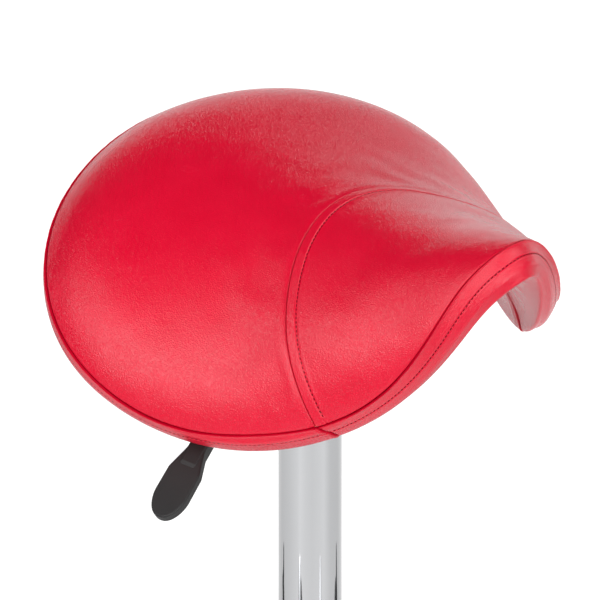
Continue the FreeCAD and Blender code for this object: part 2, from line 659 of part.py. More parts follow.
PHI_J = math.radians(ARCH_END_DEG)
keep("border_strip_rear", strip(PHI_J + 0.004, 2 * math.pi - PHI_J - 0.004, 49))
keep("border_strip_front", strip(-PHI_J + 0.004, PHI_J - 0.004, 29))

staples = []
hem = group([NODES["border_strip_rear"], NODES["border_strip_front"]])
for k in range(44):
    phi = -math.pi + 2 * math.pi * (k + 0.3) / 44
    rho = 1.0 - STAPLE_IN / S_R(abs(phi))
    p = world(inner(rho, phi, thick(rho, phi), 2.0))
    _, n3, o3, t3 = edge_frame(phi)
    u3 = normal(rho * S_R(abs(phi)) * math.cos(phi), rho * S_R(abs(phi)) * math.sin(phi))
    nx = V(-u3[1], -u3[0], u3[2])
    tx = V(-t3[1], -t3[0], t3[2])
    ox = nx.cross(tx).normalize()
    tx = ox.cross(nx).normalize()
    low = []
    for s in (-4.7, 0.0, 4.7):
        q = p + tx * s
        low += [(v.Point - q).dot(nx) for v in Part.makeLine(q + nx * 6, q - nx * 8).common(hem).Vertexes]
    p = p + nx * min(low)
    b = Part.makeBox(10.0, 0.9, 0.7, V(-5.0, -0.45, -0.80))
    m = FreeCAD.Matrix(tx.x, ox.x, nx.x, p.x, tx.y, ox.y, nx.y, p.y, tx.z, ox.z, nx.z, p.z, 0, 0, 0, 1)
    b.Placement = FreeCAD.Placement(m)
    staples.append(b)
keep("hem_staples", group(staples))

# ---------------------------------------------------------------- castors
wr = WHEEL_D / 2
wheel = turned([(AXLE_D / 2 + 0.05, 0.0), (6.0, 0.0), (7.0, 1.2), (wr - 5.0, 1.2), (wr - 4.0, 0.0), (wr, 0.0), (wr, WHEEL_WIDTH),
                (wr - 4.5, WHEEL_WIDTH), (wr - 6.0, WHEEL_WIDTH - 2.0), (8.0, WHEEL_WIDTH - 2.6), (6.0, WHEEL_WIDTH - 0.6),
                (AXLE_D / 2 + 0.05, WHEEL_WIDTH - 0.6)],
               [0, 0, 0, 0, 0, 1.2, 3.6, 0.6, 0.6, 0.6, 0.6, 0])
left = wheel.copy()
left.rotate(V(0, 0, 0), V(1, 0, 0), -90)
left.translate(V(CASTOR_TRAIL, WHEEL_GAP / 2, wr))
right = wheel.copy()
right.rotate(V(0, 0, 0), V(1, 0, 0), 90)
right.translate(V(CASTOR_TRAIL, -WHEEL_GAP / 2, wr))

web_t = 5.2
HOOD_HALF = 19.0
web = Part.Face(rounded([(-7.5, 41.0), (-9.0, 58.0), (9.0, 58.0), (26.0, 50.5), (34.0, 34.0), (28.0, 16.0), (16.0, 12.0), (3.0, 24.0)],
                        [3, 1, 2, 8, 8, 8, 6, 6]))
web.rotate(V(0, 0, 0), V(1, 0, 0), 90)
web = web.extrude(V(0, web_t, 0))
web.translate(V(0, -web_t / 2, 0))
boss = cyl(9.0, (0, 0, 42.0), (0, 0, 1), 19.2)
boss = boss.cut(cyl(30.0, (CASTOR_TRAIL, -30, wr), (0, 1, 0), 60).cut(cyl(30.0, (CASTOR_TRAIL, -web_t / 2, wr), (0, 1, 0), web_t)).common(
    cyl(wr + 1.2, (CASTOR_TRAIL, -30, wr), (0, 1, 0), 60)))
hood = cyl(wr + 3.6, (0, -HOOD_HALF, 0), (0, 1, 0), 2 * HOOD_HALF).cut(cyl(wr + 1.3, (0, -40, 0), (0, 1, 0), 80))
keep_side = Part.Face(Part.makePolygon([V(0, 0, 0), V(60, 0, 6), V(60, 0, 60), V(-60, 0, 60), V(-60, 0, 2), V(0, 0, 0)])).extrude(V(0, 80, 0))
keep_side.translate(V(0, -40, 0))
hood = hood.common(keep_side)
hood.translate(V(CASTOR_TRAIL, 0, wr))
housing = web.fuse(boss).fuse(hood)
housing = housing.cut(cyl(STEM_D / 2 + 0.06, (0, 0, 46.8), (0, 0, 1), 20.0))
housing = housing.cut(cyl(AXLE_D / 2, (CASTOR_TRAIL, -30, wr), (0, 1, 0), 60.0))
axle = cyl(AXLE_D / 2, (CASTOR_TRAIL, -WHEEL_GAP / 2 - WHEEL_WIDTH + 0.8, wr), (0, 1, 0), WHEEL_GAP + 2 * WHEEL_WIDTH - 1.6)

for k in range(ARM_COUNT):
    for name, shape in (("housing", housing), ("axle", axle), ("wheel_left", left), ("wheel_right", right)):
        s = shape.copy()
        s.rotate(V(0, 0, 0), V(0, 0, 1), ARM_DEG[k] + CASTOR_YAW_DEG[k])
        a = math.radians(ARM_DEG[k])
        s.translate(V(STEM_R * math.cos(a), STEM_R * math.sin(a), 0))
        keep("castor_%d_%s" % (k + 1, name), s)

for name in sorted(NODES):
    shape = NODES[name]
    b = shape.optimalBoundingBox(True, False)
    print("%-22s solids %2d valid %s vol %10.0f  x %7.1f %7.1f  y %7.1f %7.1f  z %6.1f %6.1f" % (
        name, len(shape.Solids), shape.isValid(), shape.Volume, b.XMin, b.XMax, b.YMin, b.YMax, b.ZMin, b.ZMax))
print(len(NODES), "nodes")
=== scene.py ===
import json
import math

import bmesh
import bpy
import numpy as np
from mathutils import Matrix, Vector

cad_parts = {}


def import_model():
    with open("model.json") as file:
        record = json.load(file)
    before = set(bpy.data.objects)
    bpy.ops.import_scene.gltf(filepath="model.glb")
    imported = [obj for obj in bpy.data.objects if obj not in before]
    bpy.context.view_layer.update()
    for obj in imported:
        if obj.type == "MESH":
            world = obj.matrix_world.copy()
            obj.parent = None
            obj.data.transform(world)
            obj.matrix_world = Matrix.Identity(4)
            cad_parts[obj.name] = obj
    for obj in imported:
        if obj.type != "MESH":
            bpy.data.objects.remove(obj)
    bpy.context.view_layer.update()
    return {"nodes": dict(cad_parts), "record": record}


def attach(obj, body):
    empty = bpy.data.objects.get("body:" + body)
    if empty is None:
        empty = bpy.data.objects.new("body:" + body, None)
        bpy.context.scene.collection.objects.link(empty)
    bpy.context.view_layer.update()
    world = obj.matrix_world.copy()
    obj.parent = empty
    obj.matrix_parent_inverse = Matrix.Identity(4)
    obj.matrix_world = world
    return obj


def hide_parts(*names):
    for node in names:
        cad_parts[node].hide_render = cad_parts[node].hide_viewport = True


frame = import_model()
nodes = frame["nodes"]
rng = np.random.default_rng(11)

# ------------------------------------------------------------------ seat surface
# Same surface as the CAD seat: u runs forward along the crest, g is measured
# over the side, both in mm. World is (-v, -u, z + datum).
SEAT_DATUM = 610.0
OUT_DEG = [0, 12, 25, 40, 60, 80, 105, 130, 155, 180]
OUT_R = [216.15, 213.35, 221.47, 235.13, 239.95, 237.07, 228.96, 209.11, 193.90, 190.73]
U_KNOTS = [-210.0, -120.0, -30.0, 60.0, 140.0, 215.0]
CREST_Z = [-16.64, -13.21, -9.14, -0.07, 17.04, 45.26]
BEND_K = [0.8227, 2.211, 4.1366, 7.6014, 10.6842, 14.4224]
TILT_U = [-210.0, -60.0, 80.0, 215.0]
TILT_MAX = [15.0, 29.727, 47.623, 70.964]
ROLL_DEG = [0, 45, 90, 135, 180]
ROLL = [5.12, 18.60, 24.42, 25.29, 24.79]
DEEP_DEG = [0, 25, 50, 90, 180]
DEEP = [29.33, 30.02, 33.14, 35.09, 33.45]
LEAN_DEG = [0, 90, 180]
LEAN = [-10.0, 5.07, 11.10]
BEND_Q = (0.9228, 0.8556)
PUFF = (9.0, 125.2, 130.0, 60.0, 47.4)
ARCH = (34.344, 3.7635e-3, -2.2445e-8)
ARCH_END_G = 192.0
PHI_J = math.radians(53.4)
CENTRE_DEPTH = 44.0
LEATHER_T = 1.4
HEM_W = 46.0
STITCH_PITCH = 3.7
ARCH_STITCH = 8.5


class Spline:
    """Cubic spline; flat ends when flat is true, otherwise natural ends."""

    def __init__(self, xs, ys, flat):
        n = len(xs)
        x, y = np.array(xs, float), np.array(ys, float)
        m, r = np.zeros((n, n)), np.zeros(n)
        m[0, 0] = m[-1, -1] = 1.0
        for i in range(1, n - 1):
            h0, h1 = x[i] - x[i - 1], x[i + 1] - x[i]
            m[i, i - 1:i + 2] = h0, 2 * (h0 + h1), h1
            r[i] = 6 * ((y[i + 1] - y[i]) / h1 - (y[i] - y[i - 1]) / h0)
        if flat:
            h = x[1] - x[0]
            m[0, :2], r[0] = (2 * h, h), 6 * (y[1] - y[0]) / h
            h = x[-1] - x[-2]
            m[-1, -2:], r[-1] = (h, 2 * h), -6 * (y[-1] - y[-2]) / h
        self.x, self.y, self.m = x, y, np.linalg.solve(m, r)

    def __call__(self, t):
        t = np.asarray(t, float)
        i = np.clip(np.searchsorted(self.x, t) - 1, 0, len(self.x) - 2)
        h = self.x[i + 1] - self.x[i]
        p, q = (self.x[i + 1] - t) / h, (t - self.x[i]) / h
        return (p * self.y[i] + q * self.y[i + 1]
                + ((p ** 3 - p) * self.m[i] + (q ** 3 - q) * self.m[i + 1]) * h * h / 6)


S_R = Spline(np.radians(OUT_DEG), OUT_R, True)
S_A = Spline(U_KNOTS, CREST_Z, False)
S_K = Spline(U_KNOTS, BEND_K, False)
S_T = Spline(TILT_U, TILT_MAX, False)
S_ROLL = Spline(np.radians(ROLL_DEG), ROLL, True)
S_H = Spline(np.radians(DEEP_DEG), DEEP, True)
S_IN = Spline(np.radians(LEAN_DEG), LEAN, True)
_x, _w = np.polynomial.legendre.leggauss(10)
GX, GW = (_x + 1) / 2, _w / 2


def unit(a):
    return a / np.maximum(np.linalg.norm(a, axis=-1, keepdims=True), 1e-12)


def smooth(x, a, b):
    t = np.clip((x - a) / (b - a), 0, 1)
    return t * t * (3 - 2 * t)


def bump(x, c, s):
    return np.exp(-((x - c) / s) ** 2)


def section(u, g):
    k = S_K(u)[..., None] * 1e-3
    t = np.radians(S_T(u))[..., None]
    w = np.clip((u + 60.0) / 275.0, 0, 1)[..., None]
    q = BEND_Q[1] * (1 - w) + BEND_Q[0] * w
    a = np.abs(g)[..., None] * GX
    tau = t * np.tanh((k * 100.0 / t) * (a / 100.0) ** q)
    return np.stack([u, (np.cos(tau) * GW).sum(-1) * g,
                     S_A(u) - (np.sin(tau) * GW).sum(-1) * np.abs(g)], -1)


def plain_normal(u, g, h=0.5):
    return unit(np.cross(section(u + h, g) - section(u - h, g), section(u, g + h) - section(u, g - h)))


def polar(u, g):
    phi = np.arctan2(g, u)
    return np.hypot(u, g) / S_R(np.abs(phi)), phi


def lift_off(u, g):
    rho, phi = polar(u, g)
    a, uc, gc, su, sg = PUFF
    puff = a * np.exp(-((u - uc) / su) ** 2 - ((np.abs(g) - gc) / sg) ** 2)
    return puff * (1 - rho ** 4) - S_ROLL(np.abs(phi)) * rho ** 8


def outer(u, g, depth=0.0):
    return section(u, g) + plain_normal(u, g) * (lift_off(u, g) - depth)[..., None]


def true_normal(u, g, h=0.6):
    return unit(np.cross(outer(u + h, g) - outer(u - h, g), outer(u, g + h) - outer(u, g - h)))


def edge(phi):
    r = S_R(np.abs(phi))
    return outer(r * np.cos(phi), r * np.sin(phi))


def edge_frame(phi):
    r = S_R(np.abs(phi))
    n = plain_normal(r * np.cos(phi), r * np.sin(phi))
    t = unit(edge(phi + 1e-3) - edge(phi - 1e-3))
    o = unit(np.cross(t, n))
    return edge(phi), np.cross(o, t), o, t


def thick(rho, phi):
    h = S_H(np.abs(phi))
    return h + (CENTRE_DEPTH - h) * (1 - rho * rho)


def inner(rho, phi, depth, inset):
    r = S_R(np.abs(phi))
    u, g = rho * r * np.cos(phi), rho * r * np.sin(phi)
    p = outer(u, g, depth)
    t = np.minimum(depth / S_H(np.abs(phi)), 1.15)
    push = 4.0 * np.sin(np.pi * np.minimum(t, 1.0)) - S_IN(np.abs(phi)) * t * t - inset
    return p + edge_frame(phi)[2] * (push * rho ** 6)[..., None]


def world(p):
    return np.stack([-p[..., 1], -p[..., 0], p[..., 2] + SEAT_DATUM], -1) * 1e-3


def arch_u(g):
    return ARCH[0] + ARCH[1] * g * g + ARCH[2] * g ** 4


def seam_in(phi):
    """How far inside the rim the border's seam lies, in mm; it wanders in below the arch seam."""
    return 6.2 * bump(np.degrees(np.abs(phi)), 63.5, 14.0)


def seam_r(phi):
    return S_R(np.abs(phi)) - seam_in(phi)


# the arch seam ends on the border's seam
_g = np.linspace(170.0, ARCH_END_G, 2201)
_g = _g[np.hypot(arch_u(_g), _g) <= seam_r(np.arctan2(_g, arch_u(_g)))]
ARCH_END_G = float(_g[-1])
PHI_J = math.atan2(ARCH_END_G, float(arch_u(ARCH_END_G)))

# seam lines in the flat (u, g) plane
_g = np.linspace(-ARCH_END_G, ARCH_END_G, 900)
ARCH_LINE = np.stack([arch_u(_g), _g], -1)
_f = np.linspace(-math.pi, math.pi, 1600)
RIM_LINE = np.stack([seam_r(_f) * np.cos(_f), seam_r(_f) * np.sin(_f)], -1)


def line_dist(u, g, line):
    """Distance in the flat plane from each point to a polyline, and the place along it."""
    p = np.stack([u.ravel(), g.ravel()], -1)
    a, b = line[:-1], line[1:]
    ab = b - a
    ll = (ab ** 2).sum(-1)
    arc = np.concatenate([[0], np.cumsum(np.sqrt(ll))])
    dist, place = np.empty(len(p)), np.empty(len(p))
    for i in range(0, len(p), 4000):
        q = p[i:i + 4000, None] - a[None]
        t = np.clip((q * ab).sum(-1) / ll, 0, 1)
        d = ((q - t[..., None] * ab) ** 2).sum(-1)
        j = d.argmin(1)
        k = np.arange(len(j))
        dist[i:i + 4000] = np.sqrt(d[k, j])
        place[i:i + 4000] = arc[j] + t[k, j] * np.sqrt(ll[j])
    return dist.reshape(u.shape), place.reshape(u.shape)


# ------------------------------------------------------------------ materials
class Nodes:
    """A short way to write a node material."""

    def __init__(self, name):
        self.mat = bpy.data.materials.new(name)
        self.mat.use_nodes = True
        self.nt = self.mat.node_tree
        self.nt.nodes.clear()
        self.out = self.nt.nodes.new("ShaderNodeOutputMaterial")
        self.bsdf = self.nt.nodes.new("ShaderNodeBsdfPrincipled")
        self.nt.links.new(self.bsdf.outputs[0], self.out.inputs[0])
        self.pos = self.nt.nodes.new("ShaderNodeTexCoord").outputs["Object"]

    def set(self, **values):
        for k, v in values.items():
            self.bsdf.inputs[k.replace("_", " ")].default_value = v

    def link(self, a, b):
        self.nt.links.new(a, b)

    def node(self, kind, inputs=(), **props):
        n = self.nt.nodes.new("ShaderNode" + kind)
        for k, v in props.items():
            setattr(n, k, v)
        for k, v in dict(inputs).items():
            s = n.inputs[k]
            if isinstance(v, bpy.types.NodeSocket):
                self.link(v, s)
            else:
                s.default_value = v
        return n

    def noise(self, scale, detail=2.0, rough=0.5, vector=None, distortion=0.0):
        n = self.node("TexNoise", {"Vector": vector or self.pos, "Scale": scale, "Detail": detail,
                                   "Roughness": rough, "Distortion": distortion})
        return n.outputs["Fac"]

    def warp(self, scale, amount, vector=None):
        v = vector or self.pos
        n = self.node("TexNoise", {"Vector": v, "Scale": scale, "Detail": 1.0})
        c = self.node("VectorMath", {0: n.outputs["Color"], 1: (0.5, 0.5, 0.5)}, operation="SUBTRACT")
        s = self.node("VectorMath", {0: c.outputs[0], "Scale": amount}, operation="SCALE")
        return self.node("VectorMath", {0: v, 1: s.outputs[0]}, operation="ADD").outputs[0]

    def stretch(self, scale, vector=None):
        return self.node("VectorMath", {0: vector or self.pos, 1: scale}, operation="MULTIPLY").outputs[0]

    def cells(self, scale, vector=None, feature="DISTANCE_TO_EDGE", randomness=1.0):
        n = self.node("TexVoronoi", {"Vector": vector or self.pos, "Scale": scale, "Randomness": randomness},
                      feature=feature)
        return n.outputs["Distance"]

    def ramp(self, fac, *stops, interp="LINEAR"):
        n = self.node("ValToRGB", {"Fac": fac})
        r = n.color_ramp
        r.interpolation = interp
        while len(r.elements) < len(stops):
            r.elements.new(0.5)
        for e, (p, c) in zip(r.elements, stops):
            e.position = p
            e.color = (c, c, c, 1) if isinstance(c, (int, float)) else (*c, 1)
        return n.outputs["Color"]

    def math(self, op, a, b=0.0, c=0.0, clamp=False):
        n = self.node("Math", {0: a, 1: b, 2: c}, operation=op)
        n.use_clamp = clamp
        return n.outputs[0]

    def mix(self, fac, a, b, blend="MIX"):
        n = self.node("Mix", data_type="RGBA", blend_type=blend)
        for i, v in ((0, fac), (6, a), (7, b)):
            if isinstance(v, bpy.types.NodeSocket):
                self.link(v, n.inputs[i])
            else:
                n.inputs[i].default_value = v if isinstance(v, (int, float)) else (*v, 1)
        return n.outputs[2]

    def map(self, value, lo, hi, to_lo, to_hi):
        return self.node("MapRange", {"Value": value, "From Min": lo, "From Max": hi, "To Min": to_lo,
                                      "To Max": to_hi}).outputs["Result"]

    def bumps(self, *layers):
        """Each layer is (height, distance in metres, strength)."""
        last = None
        for height, dist, strength in layers:
            b = self.node("Bump", {"Height": height, "Distance": dist, "Strength": strength})
            if last is not None:
                self.link(last, b.inputs["Normal"])
            last = b.outputs[0]
        self.link(last, self.bsdf.inputs["Normal"])

    def to(self, name, socket):
        self.link(socket, self.bsdf.inputs[name])


def leather():
    m = Nodes("red_leather")
    v = m.warp(300.0, 0.0016)
    pebble = m.ramp(m.cells(620.0, v), (0.0, 0.0), (0.34, 1.0), interp="B_SPLINE")
    fine = m.noise(1500.0, 3.0, 0.6)
    grain = m.math("MULTIPLY_ADD", fine, 0.35, pebble)
    patch = m.noise(38.0, 1.0, 0.5)
    broad = m.noise(9.0, 2.0, 0.5)
    base = m.mix(m.map(patch, 0.3, 0.7, 0.0, 1.0), (0.820, 0.0022, 0.0320), (0.860, 0.0030, 0.0370))
    base = m.mix(m.map(broad, 0.3, 0.7, 0.0, 0.4), base, (0.795, 0.0018, 0.0300))
    base = m.mix(m.map(pebble, 0.0, 0.8, 0.30, 0.0), base, (0.52, 0.001, 0.020))
    # painted shade: this attribute darkens the colour in seams, stitch lines, tucked edges and the hidden underside,
    # and makes them rougher and less glossy there
    painted_groove_shade = m.node("Attribute", attribute_name="painted_groove_shade").outputs["Fac"]
    base = m.mix(m.map(painted_groove_shade, 0.05, 1.0, 0.0, 0.74), base, (0.30, 0.0004, 0.008))
    m.to("Base Color", base)
    rough = m.math("ADD", m.map(patch, 0.25, 0.75, 0.185, 0.235), m.map(pebble, 0.0, 1.0, 0.05, 0.0))
    m.to("Roughness", m.math("ADD", rough, m.map(painted_groove_shade, 0.1, 1.0, 0.0, 0.40)))
    m.to("Specular IOR Level", m.map(painted_groove_shade, 0.02, 0.5, 0.62, 0.04))
    m.bumps((grain, 0.00034, 0.52), (m.noise(240.0, 2.0), 0.0006, 0.05))
    return m.mat


def thread():
    m = Nodes("red_thread")
    twist = m.node("TexWave", {"Vector": m.pos, "Scale": 900.0, "Distortion": 2.0}, bands_direction="DIAGONAL").outputs["Fac"]
    # painted shade: the thread is given a dark red, much darker than the leather, for the shade it sits in at the
    # stitch holes
    m.to("Base Color", m.mix(m.noise(600.0), (0.12, 0.0005, 0.005), (0.19, 0.0010, 0.008)))
    m.set(Roughness=0.9, Specular_IOR_Level=0.04)
    m.bumps((twist, 0.0001, 0.4))
    return m.mat


def chrome(name="chrome", base=(0.60, 0.607, 0.62), rough=0.045):
    m = Nodes(name)
    smear = m.noise(26.0, 4.0, 0.6, m.stretch((1.0, 1.0, 0.35)))
    m.to("Base Color", m.mix(smear, tuple(x * 0.97 for x in base), tuple(min(1, x * 1.03) for x in base)))
    m.to("Roughness", m.map(smear, 0.3, 0.75, rough * 0.75, rough * 1.7))
    m.set(Metallic=1.0)
    m.bumps((m.noise(45.0, 1.0), 0.0005, 0.012), (m.noise(900.0, 2.0), 0.00002, 0.05))
    return m.mat


def steel():
    m = Nodes("bright_steel")
    brushed = m.noise(700.0, 3.0, 0.6, m.stretch((1.0, 1.0, 6.0)))
    m.to("Base Color", m.mix(brushed, (0.50, 0.50, 0.51), (0.62, 0.62, 0.63)))
    m.to("Roughness", m.map(brushed, 0.2, 0.8, 0.22, 0.38))
    m.set(Metallic=1.0)
    m.bumps((brushed, 0.00003, 0.2))
    return m.mat


def painted():
    m = Nodes("black_painted_steel")
    peel = m.noise(650.0, 2.0)
    wear = m.noise(70.0, 5.0, 0.7)
    m.to("Base Color", m.mix(m.map(wear, 0.35, 0.75, 0.0, 1.0), (0.012, 0.012, 0.013), (0.026, 0.026, 0.028)))
    m.to("Roughness", m.map(wear, 0.3, 0.7, 0.34, 0.52))
    m.bumps((peel, 0.00008, 0.25))
    return m.mat


def plastic(name, a, b, r0, r1, grain=2200.0, depth=0.00005):
    m = Nodes(name)
    mottle = m.noise(90.0, 3.0, 0.6)
    spark = m.noise(grain, 2.0, 0.6)
    m.to("Base Color", m.mix(mottle, a, b))
    m.to("Roughness", m.map(mottle, 0.25, 0.75, r0, r1))
    m.set(Specular_IOR_Level=0.45)
    m.bumps((spark, depth, 0.35))
    return m.mat


def plywood():
    m = Nodes("plywood")
    layers = m.node("TexWave", {"Vector": m.warp(30.0, 0.0006), "Scale": 110.0, "Distortion": 0.6, "Detail": 1.0},
                    bands_direction="Z").outputs["Fac"]
    grain = m.noise(240.0, 4.0, 0.65, m.stretch((0.12, 1.0, 1.0)))
    c = m.mix(grain, (0.36, 0.215, 0.105), (0.60, 0.41, 0.235))
    c = m.mix(m.map(layers, 0.35, 0.65, 0.0, 0.45), c, (0.22, 0.12, 0.055))
    m.to("Base Color", c)
    m.to("Roughness", m.map(grain, 0.2, 0.8, 0.55, 0.75))
    m.bumps((grain, 0.0003, 0.35))
    return m.mat


def foam():
    m = Nodes("foam")
    pore = m.cells(900.0)
    m.to("Base Color", m.mix(m.noise(40.0), (0.72, 0.62, 0.36), (0.82, 0.74, 0.50)))
    m.set(Roughness=0.9)
    m.bumps((pore, 0.0006, 0.8))
    return m.mat


def nonwoven():
    m = Nodes("black_nonwoven")
    fibre = m.noise(1500.0, 3.0, 0.7, m.warp(300.0, 0.002, m.stretch((1.0, 0.35, 1.0))))
    fibre2 = m.noise(1500.0, 3.0, 0.7, m.warp(300.0, 0.002, m.stretch((0.35, 1.0, 1.0))))
    point = m.cells(480.0, feature="F1", randomness=0.15)
    h = m.math("MULTIPLY_ADD", m.ramp(point, (0.0, 0.0), (0.4, 1.0)), 0.8, m.math("ADD", fibre, fibre2))
    m.to("Base Color", m.mix(fibre, (0.010, 0.010, 0.011), (0.030, 0.030, 0.032)))
    m.set(Roughness=0.88, Sheen_Weight=0.25, Sheen_Roughness=0.5)
    m.bumps((h, 0.0002, 0.5))
    return m.mat


MATS = {
    "red_leather": leather(),
    "thread": thread(),
    "chrome": chrome(),
    "bright_steel": steel(),
    "button_steel": steel(),
    "black_painted_steel": painted(),
    "black_plastic": plastic("black_plastic", (0.014, 0.0138, 0.0142), (0.021, 0.0205, 0.021), 0.44, 0.56),
    "wheel_plastic": plastic("wheel_plastic", (0.020, 0.020, 0.022), (0.030, 0.030, 0.032), 0.34, 0.46, 1400.0),
    "black_rubber": plastic("black_rubber", (0.014, 0.014, 0.014), (0.024, 0.024, 0.024), 0.72, 0.85, 900.0, 0.00008),
    "plywood": plywood(),
    "foam": foam(),
    "black_nonwoven": nonwoven(),
}
slot_of = {s["node"]: s["material_slot"] for s in frame["record"].get("subparts", []) if "material_slot" in s}
for name, ob in nodes.items():
    slot = slot_of.get(name) or (ob.data.materials[0].name.split(".")[0] if ob.data.materials else "bright_steel")
    mat = MATS.get(slot, MATS["bright_steel"])
    if ob.data.materials:
        for i in range(len(ob.data.materials)):
            ob.data.materials[i] = mat
    else:
        ob.data.materials.append(mat)


# ------------------------------------------------------------------ mesh tools
def make_object(name, verts, faces, mat, flat=False):
    me = bpy.data.meshes.new(name)
    me.from_pydata(np.asarray(verts, float).tolist(), [], faces)
    ob = bpy.data.objects.new(name, me)
    bpy.context.scene.collection.objects.link(ob)
    me.materials.append(mat)
    if not flat:
        me.polygons.foreach_set("use_smooth", np.ones(len(me.polygons), bool))
    me.update()
    return ob


def clean(ob, dist=3e-5):
    bm = bmesh.new()
    bm.from_mesh(ob.data)
    bmesh.ops.remove_doubles(bm, verts=bm.verts, dist=dist)
    bmesh.ops.dissolve_degenerate(bm, edges=bm.edges, dist=1e-6)
    loose = [v for v in bm.verts if not v.link_faces]
    bmesh.ops.delete(bm, geom=loose, context="VERTS")
    bmesh.ops.recalc_face_normals(bm, faces=bm.faces)
    bm.to_mesh(ob.data)
    bm.free()
    return ob


def loop_faces(nr, nc, caps):
    """Quads of a tube whose section has nr points, over nc stations."""
    i, j = np.meshgrid(np.arange(nr), np.arange(nc - 1), indexing="ij")
    k = (i + 1) % nr
    f = np.stack([i * nc + j, i * nc + j + 1, k * nc + j + 1, k * nc + j], -1).reshape(-1, 4).tolist()
    if caps:
        f.append([r * nc for r in range(nr)][::-1])
        f.append([r * nc + nc - 1 for r in range(nr)])
    return f


def leather_shell(name, top, normals, shade, caps, step=4, t=LEATHER_T):
    """Closed leather skin: the shown rows, then every fourth one again underneath."""
    keep = sorted(set(list(range(0, top.shape[0], step)) + [0, top.shape[0] - 1]))
    low = top[keep] - normals[keep] * t
    loop = np.concatenate([top, low[::-1]], 0)
    nr, nc = loop.shape[:2]
    ob = make_object(name, world(loop.reshape(-1, 3)), loop_faces(nr, nc, caps), MATS["red_leather"])
    # painted shade per point: the given shade on the shown rows, full shade on the hidden rows underneath
    painted_groove_shade = ob.data.attributes.new("painted_groove_shade", "FLOAT", "POINT")
    painted_groove_shade.data.foreach_set("value", np.concatenate([shade, np.ones_like(low[..., 0])], 0).ravel().astype(np.float32))
    return clean(ob)


def stitches(name, pts, nrm, length=2.35, radius=0.46, sink=0.16, extra=()):
    """One short bowed thread for each stitch along a line of points, in mm."""
    seg = np.linalg.norm(np.diff(pts, axis=0), axis=1)
    arc = np.concatenate([[0], np.cumsum(seg)])
    count = int(arc[-1] / STITCH_PITCH)
    verts, faces = [], []
    sides, rings = 8, 7
    ang = np.linspace(0, 2 * np.pi, sides, endpoint=False)
    for k in range(count):
        mid = (k + 0.5) * arc[-1] / count
        s = mid + np.linspace(-0.5, 0.5, rings) * length
        c = np.stack([np.interp(s, arc, pts[:, a]) for a in range(3)], -1)
        n = unit(np.stack([np.interp(s, arc, nrm[:, a]) for a in range(3)], -1))
        x = np.linspace(-1, 1, rings)
        jit = rng.uniform(-0.06, 0.06)
        c = c + n * (radius * 0.55 - sink - 0.75 * np.abs(x) ** 3.2 + jit * 0.4)[:, None]
        t = unit(np.gradient(c, axis=0))
        b = unit(np.cross(t, n))
        n2 = np.cross(b, t)
        c = c + b * (0.10 * x + jit)[:, None]
        r = radius * np.sqrt(np.clip(1.04 - np.abs(x) ** 6 * 0.6, 0.2, 1))
        ring = c[:, None] + (b[:, None] * np.cos(ang)[None, :, None] + n2[:, None] * np.sin(ang)[None, :, None]) * r[:, None, None]
        base = len(verts)
        verts.extend(ring.reshape(-1, 3))
        for i in range(rings - 1):
            for j in range(sides):
                q = (j + 1) % sides
                faces.append([base + i * sides + j, base + i * sides + q, base + (i + 1) * sides + q, base + (i + 1) * sides + j])
        faces.append([base + j for j in range(sides)][::-1])
        faces.append([base + (rings - 1) * sides + j for j in range(sides)])
    for tube_pts, tube_r in extra:
        tube_pts = np.asarray(tube_pts, float)
        t = unit(np.gradient(tube_pts, axis=0))
        b = unit(np.cross(t, np.array([0.3, 0.2, 0.93])))
        n2 = np.cross(b, t)
        ring = tube_pts[:, None] + (b[:, None] * np.cos(ang)[None, :, None] + n2[:, None] * np.sin(ang)[None, :, None]) * tube_r
        base, m = len(verts), len(tube_pts)
        verts.extend(ring.reshape(-1, 3))
        for i in range(m - 1):
            for j in range(sides):
                q = (j + 1) % sides
                faces.append([base + i * sides + j, base + i * sides + q, base + (i + 1) * sides + q, base + (i + 1) * sides + j])
        faces.append([base + j for j in range(sides)][::-1])
        faces.append([base + (m - 1) * sides + j for j in range(sides)])
    return clean(make_object(name, world(np.array(verts)), faces, MATS["thread"]), 1e-7)


# ------------------------------------------------------------------ leather panels
NEAR_SEAM = np.array([0, .2, .4, .6, .85, 1.15, 1.5, 2, 2.6, 3.4, 4.4, 5.4, 6.4, 7.1, 7.6, 7.95, 8.25, 8.5, 8.75, 9.05, 9.4, 9.9,
                      10.6, 11.6, 13.0])
NEAR_RIM = np.array([0, .2, .45, .75, 1.1, 1.5, 2, 2.7, 3.6, 4.8, 6.4, 8.6, 11.5])


def creases(u, g, rear):
    """Soft hand-made unevenness of leather pulled over foam."""
    h = 0.10 * np.sin(u / 21.0 + 1.3 * np.sin(g / 37.0)) * np.sin(g / 26.0 + 0.7)
    h += 0.05 * np.sin(u / 9.5 + g / 14.0 + 2.0 * np.sin(g / 31.0))
    if rear:
        # tension lines that run back from the arched seam on both sides of the crest
        back = arch_u(g) - u
        fade = smooth(back, 2, 14) * (1 - smooth(back, 45, 110))
        lines = np.sin(g / 6.3 + 1.5 * np.sin(u / 40.0)) + 0.6 * np.sin(g / 3.9 + 0.8 + u / 55.0)
        h += 0.13 * lines * fade * (0.35 + 0.65 * bump(np.abs(g), 62, 46))
    return h


